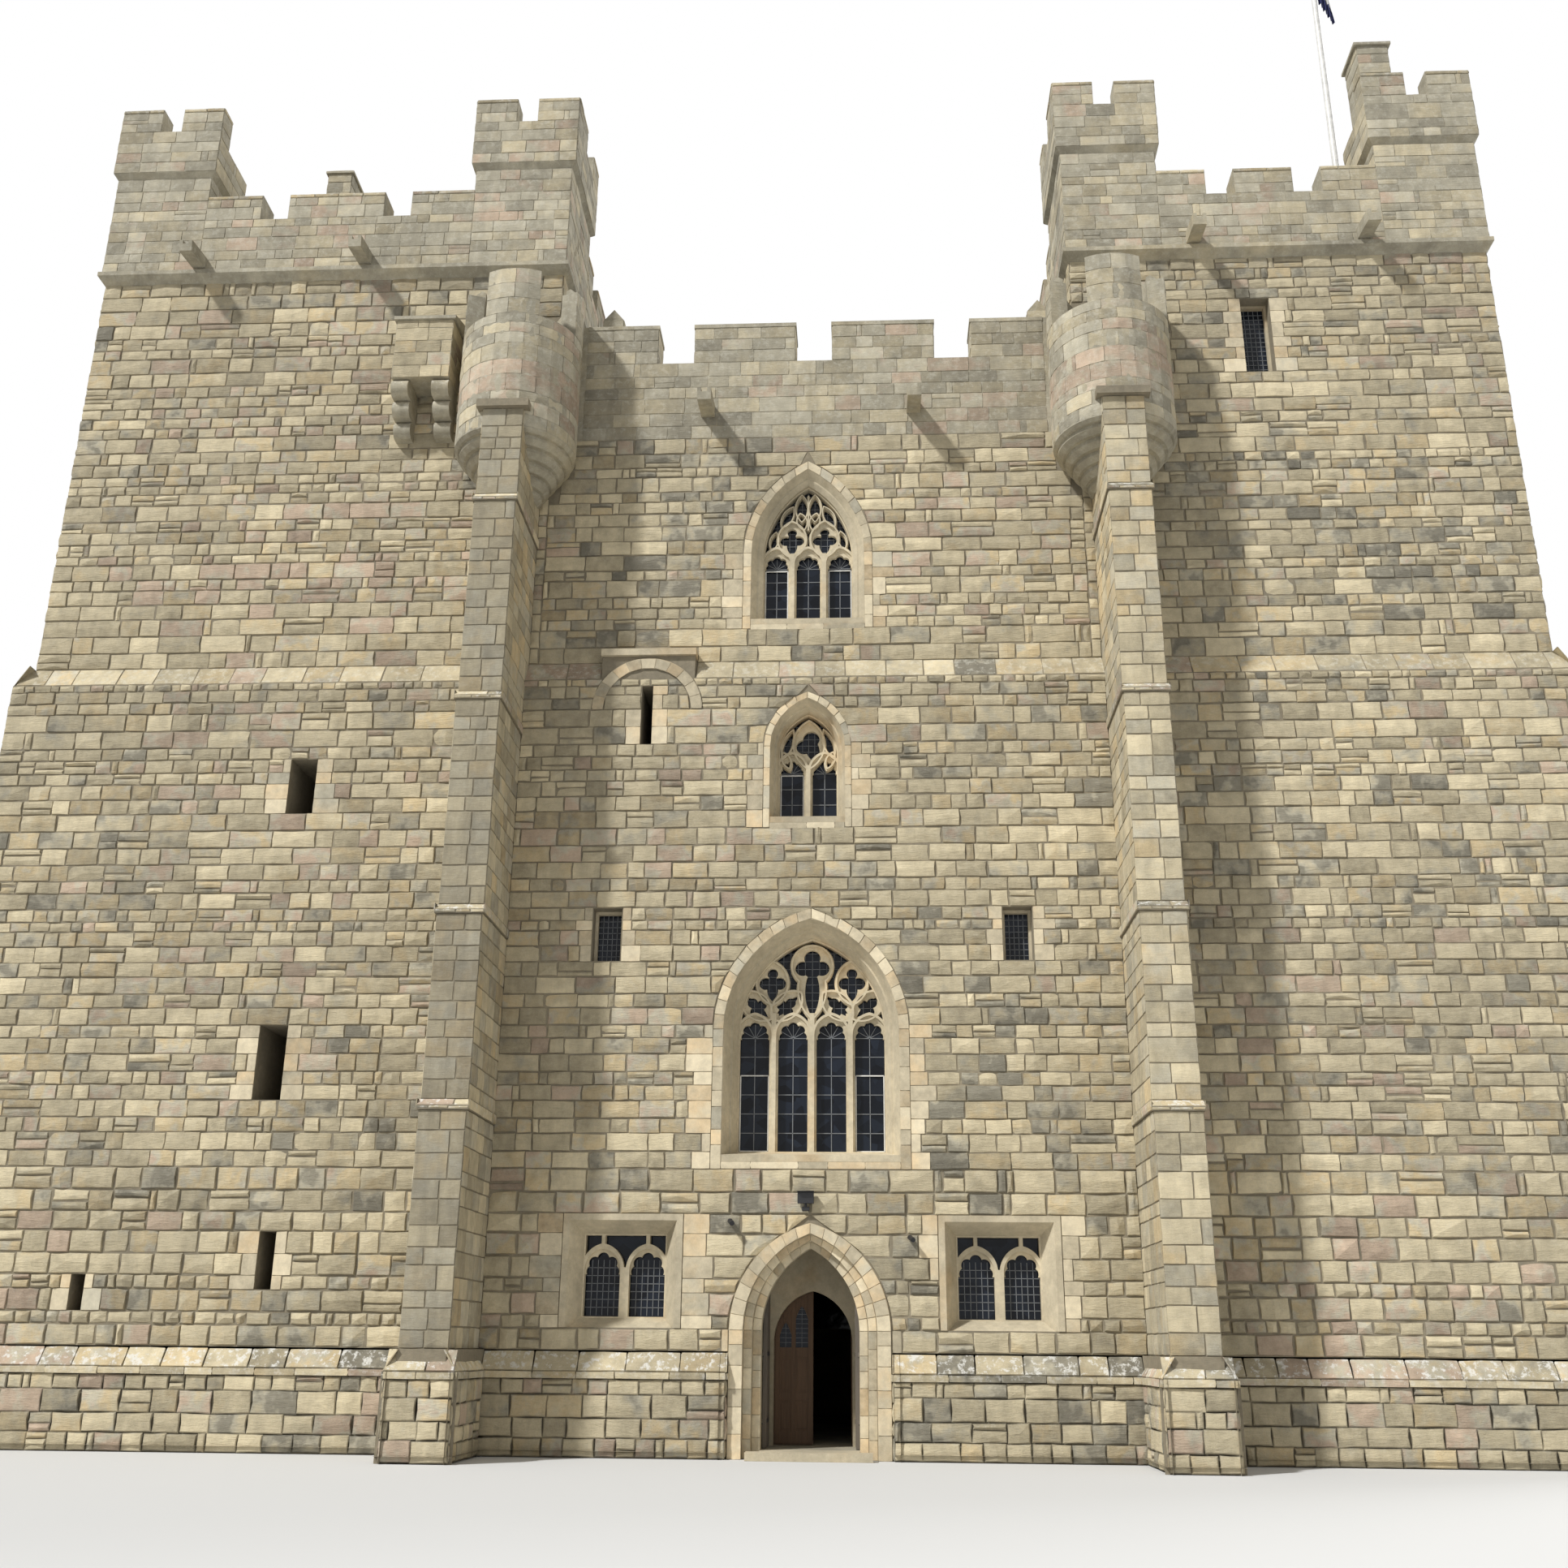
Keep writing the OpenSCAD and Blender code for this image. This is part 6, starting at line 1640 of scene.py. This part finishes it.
class KEEP_OT_stage(bpy.types.Operator):
    """Sets the floor, the lamps and the camera"""

    bl_idname = "keep.stage"
    bl_label = "Stage"

    def execute(self, context):
        set_stage()
        return {"FINISHED"}


class KEEP_OT_wall_stones(bpy.types.Operator):
    """Lays the rubble and the jamb blocks of the front, the rear and the sides"""

    bl_idname = "keep.wall_stones"
    bl_label = "Wall Stones"

    def execute(self, context):
        m = masonry()
        RUBBLE.update(joint=m.joint, course=m.course)
        LOW_RUBBLE.update(joint=m.joint, course=m.course * 1.15)
        lay_wall_face(-1, 11)
        lay_wall_face(1, 21)
        lay_sides()
        return {"FINISHED"}


class KEEP_OT_slopes(bpy.types.Operator):
    """Lays the set-off and the plinth"""

    bl_idname = "keep.slopes"
    bl_label = "Set-off and Plinth"

    def execute(self, context):
        lay_setoff()
        lay_plinth()
        return {"FINISHED"}


class KEEP_OT_buttresses(bpy.types.Operator):
    """Lays the stones of the buttresses and the bartizans"""

    bl_idname = "keep.buttresses"
    bl_label = "Buttresses and Bartizans"

    def execute(self, context):
        lay_buttresses()
        lay_bartizans()
        return {"FINISHED"}


class KEEP_OT_battlements(bpy.types.Operator):
    """Lays the parapets, the corner turrets, the stacks and the garderobe"""

    bl_idname = "keep.battlements"
    bl_label = "Battlements"

    def execute(self, context):
        lay_hall_parapets()
        lay_tower_parapets()
        lay_turrets()
        lay_stacks()
        return {"FINISHED"}


class KEEP_OT_roofs(bpy.types.Operator):
    """Covers the roofs with lead rolls"""

    bl_idname = "keep.roofs"
    bl_label = "Roofs"

    def execute(self, context):
        cover_roofs()
        return {"FINISHED"}


class KEEP_OT_glazing(bpy.types.Operator):
    """Leads the windows"""

    bl_idname = "keep.glazing"
    bl_label = "Glazing"

    def execute(self, context):
        glaze()
        return {"FINISHED"}


class KEEP_OT_doors(bpy.types.Operator):
    """Boards and panels the door leaves, and fixes the lamp over them"""

    bl_idname = "keep.doors"
    bl_label = "Doors"

    def execute(self, context):
        hang_doors()
        fix_lamps()
        return {"FINISHED"}


class KEEP_OT_flag(bpy.types.Operator):
    """Hangs the limp flag"""

    bl_idname = "keep.flag"
    bl_label = "Flag"

    def execute(self, context):
        hang_flag()
        return {"FINISHED"}


OPERATORS = (KEEP_OT_finishes, KEEP_OT_stage, KEEP_OT_wall_stones, KEEP_OT_slopes, KEEP_OT_buttresses,
             KEEP_OT_battlements, KEEP_OT_roofs, KEEP_OT_glazing, KEEP_OT_doors, KEEP_OT_flag)


class KEEP_PT_panel(bpy.types.Panel):
    """Lists the pieces of the keep"""

    bl_label = "Castle Keep"
    bl_idname = "KEEP_PT_panel"
    bl_space_type = "VIEW_3D"
    bl_region_type = "UI"
    bl_category = "Keep"

    def draw(self, context):
        for owner in (masonry(), joinery(), studio()):
            for key in owner.__annotations__:
                self.layout.prop(owner, key)
        for operator in OPERATORS:
            self.layout.operator(operator.bl_idname)


GROUPS = (("keep_masonry", KeepMasonry), ("keep_joinery", KeepJoinery), ("keep_studio", KeepStudio))


def register():
    for name, kind in GROUPS:
        bpy.utils.register_class(kind)
        setattr(bpy.types.Scene, name, bpy.props.PointerProperty(type=kind))
    for kind in (*OPERATORS, KEEP_PT_panel):
        bpy.utils.register_class(kind)


def unregister():
    for kind in (KEEP_PT_panel, *OPERATORS[::-1]):
        bpy.utils.unregister_class(kind)
    for name, kind in GROUPS[::-1]:
        delattr(bpy.types.Scene, name)
        bpy.utils.unregister_class(kind)


def main():
    register()
    for operator in OPERATORS:
        getattr(bpy.ops.keep, operator.bl_idname.split(".")[1])()


if __name__ == "__main__":
    main()
